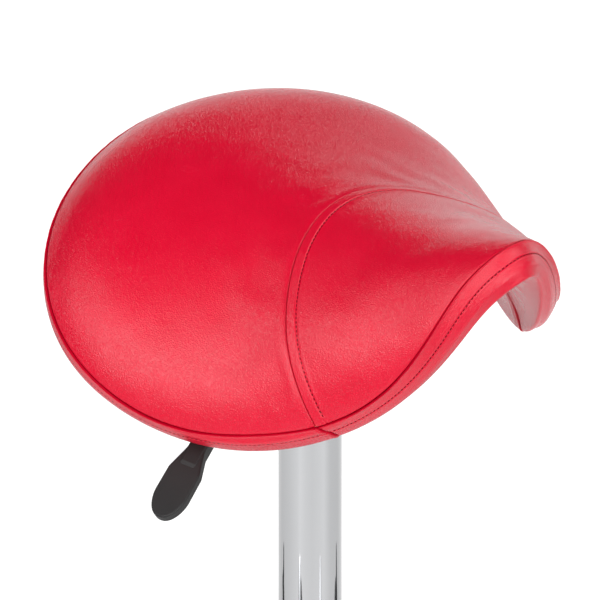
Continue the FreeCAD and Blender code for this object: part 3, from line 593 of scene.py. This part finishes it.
class Slack:
    """Cloth simulation of the cover over the pad, kept as a height over the plain surface.

    The cover is a lattice in the (u, g) plane, held along its seams. It is cut a
    little larger than the pad and pushed out from below, so it swells and puckers."""

    STEP, CAP = 5.5, 1.1

    def __init__(self, run):
        self.u = np.arange(-203.0, 228.0, self.STEP)
        self.g = np.arange(-247.5, 248.0, self.STEP)
        U, G = np.meshgrid(self.u, self.g, indexing="ij")
        self.h = np.zeros(U.shape)
        if not run:
            return
        rho, _ = polar(U, G)
        keep = rho < 0.99
        index = -np.ones(U.shape, int)
        index[keep] = np.arange(keep.sum())
        start = outer(U[keep], G[keep])
        a, b, c, d = index[:-1, :-1], index[1:, :-1], index[1:, 1:], index[:-1, 1:]
        quad = (a >= 0) & (b >= 0) & (c >= 0) & (d >= 0)
        faces = np.stack([a[quad], d[quad], c[quad], b[quad]], -1)
        ob = make_object("slack", world(start), faces.tolist(), MATS["red_leather"])
        if (np.array([p.normal.z for p in ob.data.polygons]).mean()) < 0:
            ob.data.flip_normals()
        da, _ = line_dist(U[keep], G[keep], ARCH_LINE)
        do, _ = line_dist(U[keep], G[keep], RIM_LINE)
        held = np.maximum(1 - smooth(da, 2.6, 3.4), 1 - smooth(do, 6.0, 9.0))
        group = ob.vertex_groups.new(name="held")
        for i in np.nonzero(held > 0.5)[0]:
            group.add([int(i)], 1.0, "REPLACE")
        mod = ob.modifiers.new("cloth", "CLOTH")
        st = mod.settings
        st.quality, st.mass, st.air_damping = 7, 0.25, 2.0
        st.tension_stiffness = st.compression_stiffness = 22.0
        st.shear_stiffness, st.bending_stiffness = 14.0, 1.2
        st.tension_damping = st.compression_damping = st.shear_damping = 12.0
        st.vertex_group_mass = "held"
        st.shrink_min = -0.006
        st.use_pressure = True
        st.uniform_pressure_force = 0.7
        st.effector_weights.gravity = 0.0
        mod.collision_settings.use_collision = False
        mod.point_cache.frame_start, mod.point_cache.frame_end = 1, 24
        for f in range(1, 25):
            bpy.context.scene.frame_set(f)
        got = ob.evaluated_get(bpy.context.evaluated_depsgraph_get()).to_mesh()
        co = np.empty(len(got.vertices) * 3)
        got.vertices.foreach_get("co", co)
        ob.to_mesh_clear()
        bpy.context.scene.frame_set(1)
        me = ob.data
        bpy.data.objects.remove(ob)
        bpy.data.meshes.remove(me)
        move = (co.reshape(-1, 3) - world(start)) * 1e3
        n = world(true_normal(U[keep], G[keep])) * 1e3 - world(np.zeros(3)) * 1e3
        h = (move * unit(n)).sum(-1)
        self.h[keep] = np.nan_to_num(h)
        # the plain surface already holds the broad shape, so only the local
        # swelling and puckers are kept, and they are capped
        k = np.exp(-(np.arange(-9, 10) / 3.6) ** 2 / 2)

        def blur(a):
            for ax in (0, 1):
                a = np.apply_along_axis(lambda r: np.convolve(r, k, "same"), ax, a)
            return a

        low = blur(self.h) / np.maximum(blur(keep.astype(float)), 1e-6)
        self.raw = self.h.copy()
        self.h = np.where(keep, 0.34 * self.CAP * np.tanh((self.h - low) / self.CAP), 0.0)

    def __call__(self, u, g):
        x = np.clip((u - self.u[0]) / self.STEP, 0, len(self.u) - 1.001)
        y = np.clip((g - self.g[0]) / self.STEP, 0, len(self.g) - 1.001)
        out = 0
        # cubic B-spline of the lattice, which keeps the swelling smooth
        i, j = np.floor(x).astype(int), np.floor(y).astype(int)
        fx, fy = x - i, y - j

        def weights(t):
            return ((1 - t) ** 3 / 6, (3 * t ** 3 - 6 * t * t + 4) / 6, (-3 * t ** 3 + 3 * t * t + 3 * t + 1) / 6, t ** 3 / 6)

        for a, wx in enumerate(weights(fx)):
            for b, wy in enumerate(weights(fy)):
                out = out + wx * wy * self.h[np.clip(i + a - 1, 0, len(self.u) - 1), np.clip(j + b - 1, 0, len(self.g) - 1)]
        return out


slack = Slack(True)


def panel_lift(u, g, rear):
    da, sa = line_dist(u, g, ARCH_LINE)
    do, so = line_dist(u, g, RIM_LINE)
    wob = 0.15 * np.sin(sa / 13.0) + 0.1 * np.sin(sa / 5.1)
    if rear:
        near = 0.45 + 0.55 * smooth(g, -60.0, 60.0)
        h = -0.85 * bump(da, 0, 0.7) - 0.62 * near * bump(da, 0, 2.6 + wob) + 0.15 * bump(da, 6.0, 4.0)
    else:
        fold = 0.62 + 0.05 * np.sin(sa / 4.1) + 0.04 * np.sin(sa / 1.85 + 1.0)
        band = fold * (1 - smooth(da, ARCH_STITCH - 0.6, ARCH_STITCH + 4.5))
        h = band - 2.6 * bump(da, 0, 0.40)
        h -= 0.80 * bump(da, ARCH_STITCH, 0.70) + 0.16 * bump(da, ARCH_STITCH, 2.2)
        # the leather is drawn in a little at each stitch
        h += 0.10 * np.cos(2 * np.pi * sa / STITCH_PITCH) * bump(da, ARCH_STITCH, 1.1)
    pull = 0.05 * np.sin(so / 3.1) * bump(do, 1.5, 2.5)
    h += -1.9 * bump(do, 0, 0.60) - 0.10 * bump(do, 0, 2.6) + pull
    edge_fade = smooth(np.minimum(da, do), 2, 16)
    return h + creases(u, g, rear) * edge_fade + slack(u, g) * smooth(do, 1, 10) * smooth(da, 0.5, 5)


def panel(rear, nc):
    a = np.linspace(-1, 1, nc)
    a = np.sign(a) * (1 - (1 - np.abs(a)) ** 1.12)      # a little closer together at the corners
    g0 = a * ARCH_END_G
    s0 = arch_u(g0)
    phi = np.pi - (np.pi - PHI_J) * a if rear else PHI_J * a
    phi = np.where(phi > np.pi, phi - 2 * np.pi, phi)
    r = seam_r(phi)
    e0, e1 = r * np.cos(phi), r * np.sin(phi)
    length = np.hypot(e0 - s0, e1 - g0)
    near = NEAR_SEAM if not rear else NEAR_SEAM * 0.8
    ka = np.minimum(1.0, 0.42 * length / near[-1])
    kb = np.minimum(1.0, 0.42 * length / NEAR_RIM[-1])
    mid = 44 if rear else 30
    d0 = near[:, None] * ka
    d2 = length - NEAR_RIM[::-1, None] * kb
    f = np.linspace(0, 1, mid + 2)[1:-1, None]
    d1 = d0[-1] + (d2[0] - d0[-1]) * f
    d = np.concatenate([d0, d1, d2], 0)
    b = d / np.maximum(length, 1e-9)
    u = s0 + (e0 - s0) * b
    g = g0 + (e1 - g0) * b
    u, g = np.clip(u, -1e3, 1e3), g
    n = true_normal(u, g)
    p = section(u, g) + plain_normal(u, g) * lift_off(u, g)[..., None] + n * panel_lift(u, g, rear)[..., None]
    # tucked edges, hidden in the seams
    first = p[:1] - n[:1] * 1.6
    last = p[-1:] - n[-1:] * 1.6
    top = np.concatenate([first, p, last], 0)
    nn = np.concatenate([n[:1], n, n[-1:]], 0)
    da, _ = line_dist(u, g, ARCH_LINE)
    do, _ = line_dist(u, g, RIM_LINE)
    seam_shade_factor = 1 - 0.085 * seam_in(np.arctan2(g, u))      # painted seam shade made lighter where the seam faces up
    # painted shade: dark along the rim seam, the arch seam and the topstitch line, and full on the tucked edges
    shade = np.maximum(bump(do, 0, 0.85) * seam_shade_factor, bump(da, 0, 0.60))
    if not rear:
        shade = np.maximum(shade, 0.22 * bump(da, ARCH_STITCH, 0.75))
    return top, nn, np.concatenate([np.ones_like(shade[:1]), shade, seam_shade_factor[-1:]], 0)


cover_rear = leather_shell("cover_rear", *panel(True, 430), False)
cover_front = leather_shell("cover_front", *panel(False, 430), False)


def offset_arch(d, n=900):
    g = np.linspace(-ARCH_END_G + 4, ARCH_END_G - 4, n)
    u = arch_u(g)
    du = 2 * ARCH[1] * g + 4 * ARCH[2] * g ** 3
    k = 1 / np.hypot(du, 1)
    return u + k * d, g - du * k * d


u, g = offset_arch(ARCH_STITCH)
inside = np.hypot(u, g) < 0.985 * seam_r(np.arctan2(g, u))
u, g = u[inside], g[inside]
n = true_normal(u, g)
p = outer(u, g) + n * panel_lift(u, g, False)[..., None]
arch_thread = stitches("arch_topstitch", p, n)


# ------------------------------------------------------------------ border strips
def strip_stitch(phi):
    return 8.2 + 2.6 * (1 - smooth(np.abs(phi), math.radians(15), math.radians(75)))


SIDE = np.array([0, .2, .4, .6, .8, 1.0, 1.3, 1.7, 2.2, 3.0, 4.2, 5.4, 6.4, 7.0, 7.4, 7.7, 8.0, 8.3, 8.6, 9.0, 9.6, 10.6, 12.0])


def strip(front, nc):
    if front:
        base = np.linspace(-PHI_J, PHI_J, nc)
    else:
        base = np.linspace(PHI_J, 2 * math.pi - PHI_J, nc)
    wrap = np.where(base > np.pi, base - 2 * np.pi, base)
    ws = strip_stitch(wrap) / 8.0
    h_all = S_H(np.abs(wrap))
    rows = [(SIDE[:, None] * ws)]
    rest = np.linspace(0, 1, 15)[1:, None]
    rows.append(rows[0][-1] + (h_all + seam_in(wrap) - 10.0 - rows[0][-1]) * rest)
    w = np.concatenate(rows, 0)
    # place along the border from the nearer joint, then the joint's slant
    r_arc = S_R(np.abs(wrap))
    ds = np.abs(np.gradient(base)) * r_arc
    s = np.cumsum(ds) - ds[0]
    sj = np.minimum(s, s[-1] - s)
    side_sign = np.where(base < (0 if front else np.pi), -1.0, 1.0) * (1 if front else -1)

    def shift(wrow, gap):
        x = 5.6 * (1 - np.exp(-wrow / 5.0)) + gap
        return -side_sign * x / r_arc * np.exp(-sj / 16.0) * (1 if front else 1)

    gap = 0.25 if front else 0.0

    def at(wrow):
        ph = base + shift(wrow, gap)
        return np.where(ph > np.pi, ph - 2 * np.pi, ph)

    def side(ph, x):
        """Point at x mm past the rim: over the pad's edge when negative, down the side when positive."""
        p, n, o, t = edge_frame(ph)
        h, lean = S_H(np.abs(ph)), S_IN(np.abs(ph))
        down = np.maximum(x, 0.0)
        k = down / h
        r = S_R(np.abs(ph)) + np.minimum(x, 0.0)
        return (outer(r * np.cos(ph), r * np.sin(ph)) - n * down[:, None]
                + o * (4.0 * np.sin(np.pi * k) - lean * k * k)[:, None])

    pts = []
    for i in range(w.shape[0]):
        ph = at(w[i])
        inn = seam_in(ph)
        turn = 2.0 * np.minimum(1.0, inn / 3.0)       # the leather rounds the pad's edge
        pts.append(sum(c * side(ph, w[i] - inn + f * turn)
                       for f, c in ((-1.0, 1 / 9), (-0.5, 2 / 9), (0.0, 3 / 9), (0.5, 2 / 9), (1.0, 1 / 9))))
    n_side = len(pts)
    ph = at(h_all)
    p, n, o, t = edge_frame(ph)
    h, lean = S_H(np.abs(ph)), S_IN(np.abs(ph))
    corner = p - n * h[:, None] - o * lean[:, None]
    r_ph = S_R(np.abs(ph))

    def hem(d):
        rho = 1 - d / r_ph
        return inner(rho, ph, thick(rho, ph), 0.6 * np.ones_like(rho))

    a, b = pts[-1], hem(np.full(nc, 9.6))
    for f in (0.14, 0.28, 0.42, 0.56, 0.70, 0.85, 1.0):
        pts.append(a * (1 - f) ** 3 + corner * 3 * f * (1 - f) + b * f ** 3)
    hem_d = [10.0, 13.0, 16.0, 19.0, 22.0, 25.0, 28.0, 31.0, 34.0, 37.0, 40.0, 43.5, HEM_W]
    for d in hem_d:
        pts.append(hem(np.full(nc, d)))
    base_pts = np.stack(pts, 0)
    nr = base_pts.shape[0]
    dc, dr = np.gradient(base_pts, axis=1), np.gradient(base_pts, axis=0)
    nrm = unit(np.cross(dc, dr))
    # outwards on the side, downwards underneath
    pe, ne, oe, te = edge_frame(at(np.zeros(nc)))
    pe = base_pts[0]
    sign = np.sign((nrm[n_side - 6] * oe).sum(-1).mean())
    nrm = nrm * sign
    lift = np.zeros((nr, nc))
    wst = strip_stitch(wrap)
    horn = 1 - smooth(np.degrees(np.abs(wrap)), 30, 70)
    ridge = 1.25 + 0.06 * np.sin(s / 4.7) + 0.05 * np.sin(s / 1.85 + 1.0)
    for i in range(n_side):
        x = w[i]
        band = 0.62 * (1 - smooth(x, wst - 0.5, wst + 4.0))
        lift[i] = band + (ridge - 0.62) * bump(x, 0.75, 0.55) - 2.3 * bump(x, 0, 0.26)
        lift[i] -= 0.62 * bump(x, wst, 0.65) + 0.14 * bump(x, wst, 2.0)
        lift[i] += 0.06 * np.cos(2 * np.pi * s / STITCH_PITCH) * bump(x, wst, 0.9)
        # faint fullness below the stitching, and a shallow line along the middle
        lift[i] += 0.30 * bump(x, 0.62 * h_all, 6.0) - 0.16 * bump(x, 0.50 * h_all, 1.6)
        # kept off the pad's edge
        inn = seam_in(wrap)
        lift[i] += 0.45 * np.minimum(1.0, inn / 3.0) * bump(x, inn, 2.2)
        # fuller towards the horn
        lift[i] += 1.7 * horn * np.sin(np.pi * np.clip((x - 4.0) / (h_all - 2.0), 0, 1)) ** 1.5
    # joint between the two strips
    if front:
        lift -= 1.5 * bump(sj, 0, 1.3)[None]
    else:
        lift += (0.70 * bump(sj, 1.2, 1.0) - 1.8 * bump(sj, 0, 0.45) + 0.20 * bump(sj, 3.8, 2.5))[None]
    # gathers where the leather is drawn underneath
    deg = np.degrees(np.abs(wrap))
    for i in range(n_side, nr):
        d = 1.5 + 1.2 * (i - n_side) if i < n_side + 7 else hem_d[i - n_side - 7]
        grow = smooth(np.full(nc, d), 9, 34)
        curl = 1 - smooth(deg, 45, 80)
        wave = s / 9.5 + 1.7 * np.sin(s / 23.0) + 0.6 * np.sin(s / 7.7) + 0.035 * d
        fold = (0.5 + 0.5 * np.sin(wave)) ** 2.2 - 0.35
        lift[i] += grow * (0.22 + 0.75 * curl) * fold
        # pinches held by the staples
        pinch = (s / 17.0) % 1.0 - 0.5
        lift[i] -= 0.55 * grow * np.exp(-(pinch / 0.13) ** 2) * smooth(np.full(nc, d), 20, 40) * (1 - 0.5 * curl)
        # the overlapped joint goes on underneath and is pulled into a tuck
        tuck = smooth(np.full(nc, d), 4, 12)
        if not front:
            lift[i] += tuck * (1.1 * bump(sj, 3.2, 2.0) - 0.9 * bump(sj, 9.0, 2.6) + 0.5 * bump(sj, 15.0, 3.5))
    out = base_pts + nrm * lift[..., None]
    tuck1 = pe - oe * 1.5 - ne * 1.9
    tuck2 = pe - oe * 2.6 - ne * 3.2
    out = np.concatenate([tuck2[None], tuck1[None], out], 0)
    nn2 = np.concatenate([nrm[:1], nrm[:1], nrm], 0)
    # painted shade: dark along the seam, the stitch line and the joint between the strips, lighter where the seam
    # faces up
    shade = np.zeros((nr + 2, nc))
    seam_shade_factor = 1 - 0.085 * seam_in(wrap)
    shade[:2] = seam_shade_factor
    for i in range(n_side):
        shade[i + 2] = np.maximum(bump(w[i], 0, 0.55) * seam_shade_factor, 0.22 * bump(w[i], wst, 0.70))
    shade[2:] = np.maximum(shade[2:], bump(sj, 0, 0.7)[None])
    # stitch line on the finished surface
    line, line_n = np.empty((nc, 3)), np.empty((nc, 3))
    for j in range(nc):
        wj = w[:, j]
        for a3 in range(3):
            line[j, a3] = np.interp(wst[j], wj, out[2:2 + n_side, j, a3])
            line_n[j, a3] = np.interp(wst[j], wj, nrm[:n_side, j, a3])
    clear = sj > (2.5 if front else 4.0)
    return out, nn2, shade, line[clear], unit(line_n[clear])


top, nn, shade, line, line_n = strip(False, 640)
border_rear = leather_shell("border_rear", top, nn, shade, True)
border_rear_thread = stitches("border_rear_topstitch", line, line_n)
top, nn, shade, line, line_n = strip(True, 360)
border_front = leather_shell("border_front", top, nn, shade, True)
border_front_thread = stitches("border_front_topstitch", line, line_n)

for ob, cad in ((cover_rear, "cover_rear_panel"), (cover_front, "cover_front_panel"),
                (border_rear, "border_strip_rear"), (border_front, "border_strip_front")):
    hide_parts(cad)
    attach(ob, "seat")
for ob in (arch_thread, border_rear_thread, border_front_thread):
    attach(ob, "seat")

# ------------------------------------------------------------------ dust cover
def dust_cover():
    """Thin non-woven sheet stretched under the shell, cut out around the board."""
    rim, half_x, half_y = 0.72, 88.0 + 1.2, 78.0 + 1.2
    phi = np.linspace(-np.pi, np.pi, 481)[:-1]
    lo, hi = np.full(len(phi), 0.02), np.full(len(phi), rim)
    for _ in range(26):
        mid = (lo + hi) / 2
        p = world(inner(mid, phi, thick(mid, phi), 2.0)) * 1e3
        inside = (np.abs(p[:, 0]) < half_x) & (np.abs(p[:, 1]) < half_y)
        lo, hi = np.where(inside, mid, lo), np.where(inside, hi, mid)
    start = hi
    f = np.concatenate([np.linspace(0, 0.9, 22), [0.94, 0.965, 0.985, 0.995, 1.0]])[:, None]
    rho = start + (rim - start) * f
    ang = np.broadcast_to(phi, rho.shape)
    r = S_R(np.abs(ang))
    n = plain_normal(rho * r * np.cos(ang), rho * r * np.sin(ang))
    low = inner(rho, ang, thick(rho, ang) + 0.05, 2.0)
    top = inner(rho, ang, thick(rho, ang) - 0.65, 2.0)
    pull = np.sin(ang * 36 + 0.8 * np.sin(ang * 5)) * smooth(f, 0.35, 1.0) * 0.16
    slack = 0.30 * np.sin(ang * 7 + 3 * f) * np.sin(np.pi * f) + 0.22 * np.sin(ang * 13 - 5 * f) * np.sin(np.pi * f)
    hem = 0.28 * smooth(f, 0.86, 0.90)
    low = low - n * (0.12 + pull + np.abs(slack) + hem)[..., None]
    loop = np.concatenate([low, top[::-1]], 0)
    nr, nc = loop.shape[:2]
    i, j = np.meshgrid(np.arange(nr), np.arange(nc), indexing="ij")
    k, m = (i + 1) % nr, (j + 1) % nc
    faces = np.stack([i * nc + j, i * nc + m, k * nc + m, k * nc + j], -1).reshape(-1, 4).tolist()
    ob = clean(make_object("dust_sheet", world(loop.reshape(-1, 3)), faces, MATS["black_nonwoven"]), 1e-6)
    one_side = world(top)
    a = np.cross(one_side[1:, :] - one_side[:-1, :], np.roll(one_side[:-1], -1, 1) - one_side[:-1])
    span = world(top[-1])
    width = 1.02 * (span[:, 0].max() - span[:, 0].min())
    length = 1.02 * (span[:, 1].max() - span[:, 1].min())
    return ob, (float(width), float(length)), float(np.linalg.norm(a, axis=-1).sum())


dust, dust_flat, dust_area = dust_cover()
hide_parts("dust_cover")
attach(dust, "seat")

# ------------------------------------------------------------------ stage, light, camera
THETA, ELEV = math.radians(45.43), math.radians(34.5)
FRAME_W = 0.46656
DIST = 14.0
right = Vector((math.sin(THETA), -math.cos(THETA), 0))
back = Vector((-math.cos(THETA) * math.cos(ELEV), -math.sin(THETA) * math.cos(ELEV), math.sin(ELEV)))
up = back.cross(right)
target = Vector((0, 0, SEAT_DATUM * 1e-3)) + right * -0.00793 + up * -0.09594
cam_data = bpy.data.cameras.new("camera")
cam = bpy.data.objects.new("camera", cam_data)
bpy.context.scene.collection.objects.link(cam)
cam_data.sensor_width = 36.0
cam_data.lens = 36.0 * DIST / FRAME_W
cam.location = target + back * DIST
cam.rotation_mode = "QUATERNION"
cam.rotation_quaternion = (-back).to_track_quat("-Z", "Y")
cam_data.clip_start, cam_data.clip_end = 0.5, 200.0
bpy.context.scene.camera = cam


def direction(az, el):
    a, e = math.radians(az), math.radians(el)
    return (math.cos(a) * math.cos(e), math.sin(a) * math.cos(e), math.sin(e))


# floor
me = bpy.data.meshes.new("floor")
me.from_pydata([(-60, -60, 0), (60, -60, 0), (60, 60, 0), (-60, 60, 0)], [], [(0, 1, 2, 3)])
floor = bpy.data.objects.new("floor", me)
bpy.context.scene.collection.objects.link(floor)
fm = bpy.data.materials.new("floor_white")
fm.use_nodes = True
nt = fm.node_tree
nt.nodes.clear()
out = nt.nodes.new("ShaderNodeOutputMaterial")
dif = nt.nodes.new("ShaderNodeBsdfDiffuse")
dif.inputs["Color"].default_value = (0.30, 0.30, 0.30, 1)
em = nt.nodes.new("ShaderNodeEmission")
em.inputs["Color"].default_value = (1, 1, 1, 1)
em.inputs["Strength"].default_value = 0.90
addn = nt.nodes.new("ShaderNodeAddShader")
clear = nt.nodes.new("ShaderNodeBsdfTransparent")
geo = nt.nodes.new("ShaderNodeNewGeometry")
mixn = nt.nodes.new("ShaderNodeMixShader")
nt.links.new(dif.outputs[0], addn.inputs[0])
nt.links.new(em.outputs[0], addn.inputs[1])
# the camera sees the floor evenly white; all other rays see the painted glow set below
seen = nt.nodes.new("ShaderNodeLightPath")
level = nt.nodes.new("ShaderNodeMapRange")
level.inputs["To Max"].default_value = 0.92
nt.links.new(seen.outputs["Is Camera Ray"], level.inputs["Value"])
# painted light: to all but camera rays the floor glows brighter behind the object, standing in for a lit sweep there
along = nt.nodes.new("ShaderNodeVectorMath")
along.operation = "DOT_PRODUCT"
along.inputs[1].default_value = (0.755, 0.656, 0.0)
nt.links.new(geo.outputs["Position"], along.inputs[0])
behind = nt.nodes.new("ShaderNodeMapRange")
behind.interpolation_type = "SMOOTHSTEP"
behind.inputs["From Min"].default_value = 0.5
behind.inputs["From Max"].default_value = 1.8
behind.inputs["To Min"].default_value = 0.04
behind.inputs["To Max"].default_value = 0.80
nt.links.new(along.outputs["Value"], behind.inputs["Value"])
far = nt.nodes.new("ShaderNodeVectorMath")
far.operation = "LENGTH"
nt.links.new(geo.outputs["Position"], far.inputs[0])
near = nt.nodes.new("ShaderNodeMapRange")
near.interpolation_type = "SMOOTHSTEP"
near.inputs["From Min"].default_value = 0.75
near.inputs["From Max"].default_value = 1.25
# painted light: within about a metre of the column the glow varies round it, which puts lighter and darker streaks
# into the chrome's reflection
split = nt.nodes.new("ShaderNodeSeparateXYZ")
nt.links.new(geo.outputs["Position"], split.inputs[0])
turn = nt.nodes.new("ShaderNodeMath")
turn.operation = "ARCTAN2"
nt.links.new(split.outputs["Y"], turn.inputs[0])
nt.links.new(split.outputs["X"], turn.inputs[1])
part = nt.nodes.new("ShaderNodeMapRange")
part.inputs["From Min"].default_value = -math.pi
part.inputs["From Max"].default_value = math.pi
nt.links.new(turn.outputs[0], part.inputs["Value"])
round_floor = nt.nodes.new("ShaderNodeValToRGB")
ROUND = [(0.0, 0.76), (0.025, 0.83), (0.085, 0.73), (0.145, 0.68), (0.205, 0.72), (0.265, 0.77), (0.30, 0.68),
         (0.34, 0.59), (0.45, 0.54), (0.58, 0.70), (0.785, 0.53), (0.92, 0.66), (1.0, 0.76)]
while len(round_floor.color_ramp.elements) < len(ROUND):
    round_floor.color_ramp.elements.new(0.5)
for e, (place, level_here) in zip(round_floor.color_ramp.elements, ROUND):
    e.position = place
    e.color = (level_here, level_here, level_here, 1)
nt.links.new(part.outputs["Result"], round_floor.inputs["Fac"])
nt.links.new(round_floor.outputs["Color"], near.inputs["To Min"])
near.inputs["To Max"].default_value = 0.0
nt.links.new(far.outputs["Value"], near.inputs["Value"])
both = nt.nodes.new("ShaderNodeMath")
both.operation = "MAXIMUM"
nt.links.new(behind.outputs["Result"], both.inputs[0])
nt.links.new(near.outputs["Result"], both.inputs[1])
nt.links.new(both.outputs[0], level.inputs["To Min"])
nt.links.new(level.outputs["Result"], em.inputs["Strength"])
nt.links.new(geo.outputs["Backfacing"], mixn.inputs[0])
nt.links.new(addn.outputs[0], mixn.inputs[1])
nt.links.new(clear.outputs[0], mixn.inputs[2])
nt.links.new(mixn.outputs[0], out.inputs[0])
me.materials.append(fm)

# studio: large soft panels around the object, as (azimuth, elevation, brightness),
# each fading out between two angles from its centre
PANELS = [
    (240, -2, 3.16), (264, -2, 2.84), (288, -2, 1.35), (312, -2, 0.02), 
    (191, 17, 1.75), (213, 17, 0.11), (236, 17, 1.68), (258, 17, 2.19), (281, 17, 1.00), (303, 17, 0.02),
    (0, 35, 1.58), (72, 36, 0.12), (128, 35, 0.65), (135, 44, 1.85), (154, 35, 1.30), (180, 35, 3.30), (205, 35, 2.17),
    (231, 35, 0.78), (257, 35, 0.60), (282, 35, 0.44), (334, 35, 0.48), (192, 53, 0.79), (228, 53, 0.70),
    (264, 53, 0.32), (300, 53, 1.21), (336, 53, 2.32), (0, 72, 0.40), (240, 72, 0.11), (300, 72, 1.34),
]
SHARP = [(32, -6, 0.6), (46, -4, 2.9), (57, -3, 1.8)]
wd = bpy.data.worlds.new("studio")
bpy.context.scene.world = wd
wd.use_nodes = True
nt = wd.node_tree
nt.nodes.clear()
out = nt.nodes.new("ShaderNodeOutputWorld")
bg = nt.nodes.new("ShaderNodeBackground")
tc = nt.nodes.new("ShaderNodeTexCoord")
total = None
for panels, (wide, narrow) in ((PANELS, (19, 5)), (SHARP, (11, 4))):
    for az, el, level in panels:
        dot = nt.nodes.new("ShaderNodeVectorMath")
        dot.operation = "DOT_PRODUCT"
        nt.links.new(tc.outputs["Generated"], dot.inputs[0])
        dot.inputs[1].default_value = direction(az, el)
        fade = nt.nodes.new("ShaderNodeMapRange")
        fade.interpolation_type = "SMOOTHSTEP"
        fade.inputs["From Min"].default_value = math.cos(math.radians(wide))
        fade.inputs["From Max"].default_value = math.cos(math.radians(narrow))
        fade.inputs["To Max"].default_value = level
        nt.links.new(dot.outputs["Value"], fade.inputs["Value"])
        if total is None:
            total = fade.outputs["Result"]
        else:
            plus = nt.nodes.new("ShaderNodeMath")
            plus.operation = "ADD"
            nt.links.new(total, plus.inputs[0])
            nt.links.new(fade.outputs["Result"], plus.inputs[1])
            total = plus.outputs[0]
nt.links.new(total, bg.inputs["Color"])
bg.inputs["Strength"].default_value = 1.0
nt.links.new(bg.outputs[0], out.inputs[0])

bpy.context.scene.view_settings.view_transform = "Standard"
bpy.context.scene.view_settings.look = "None"
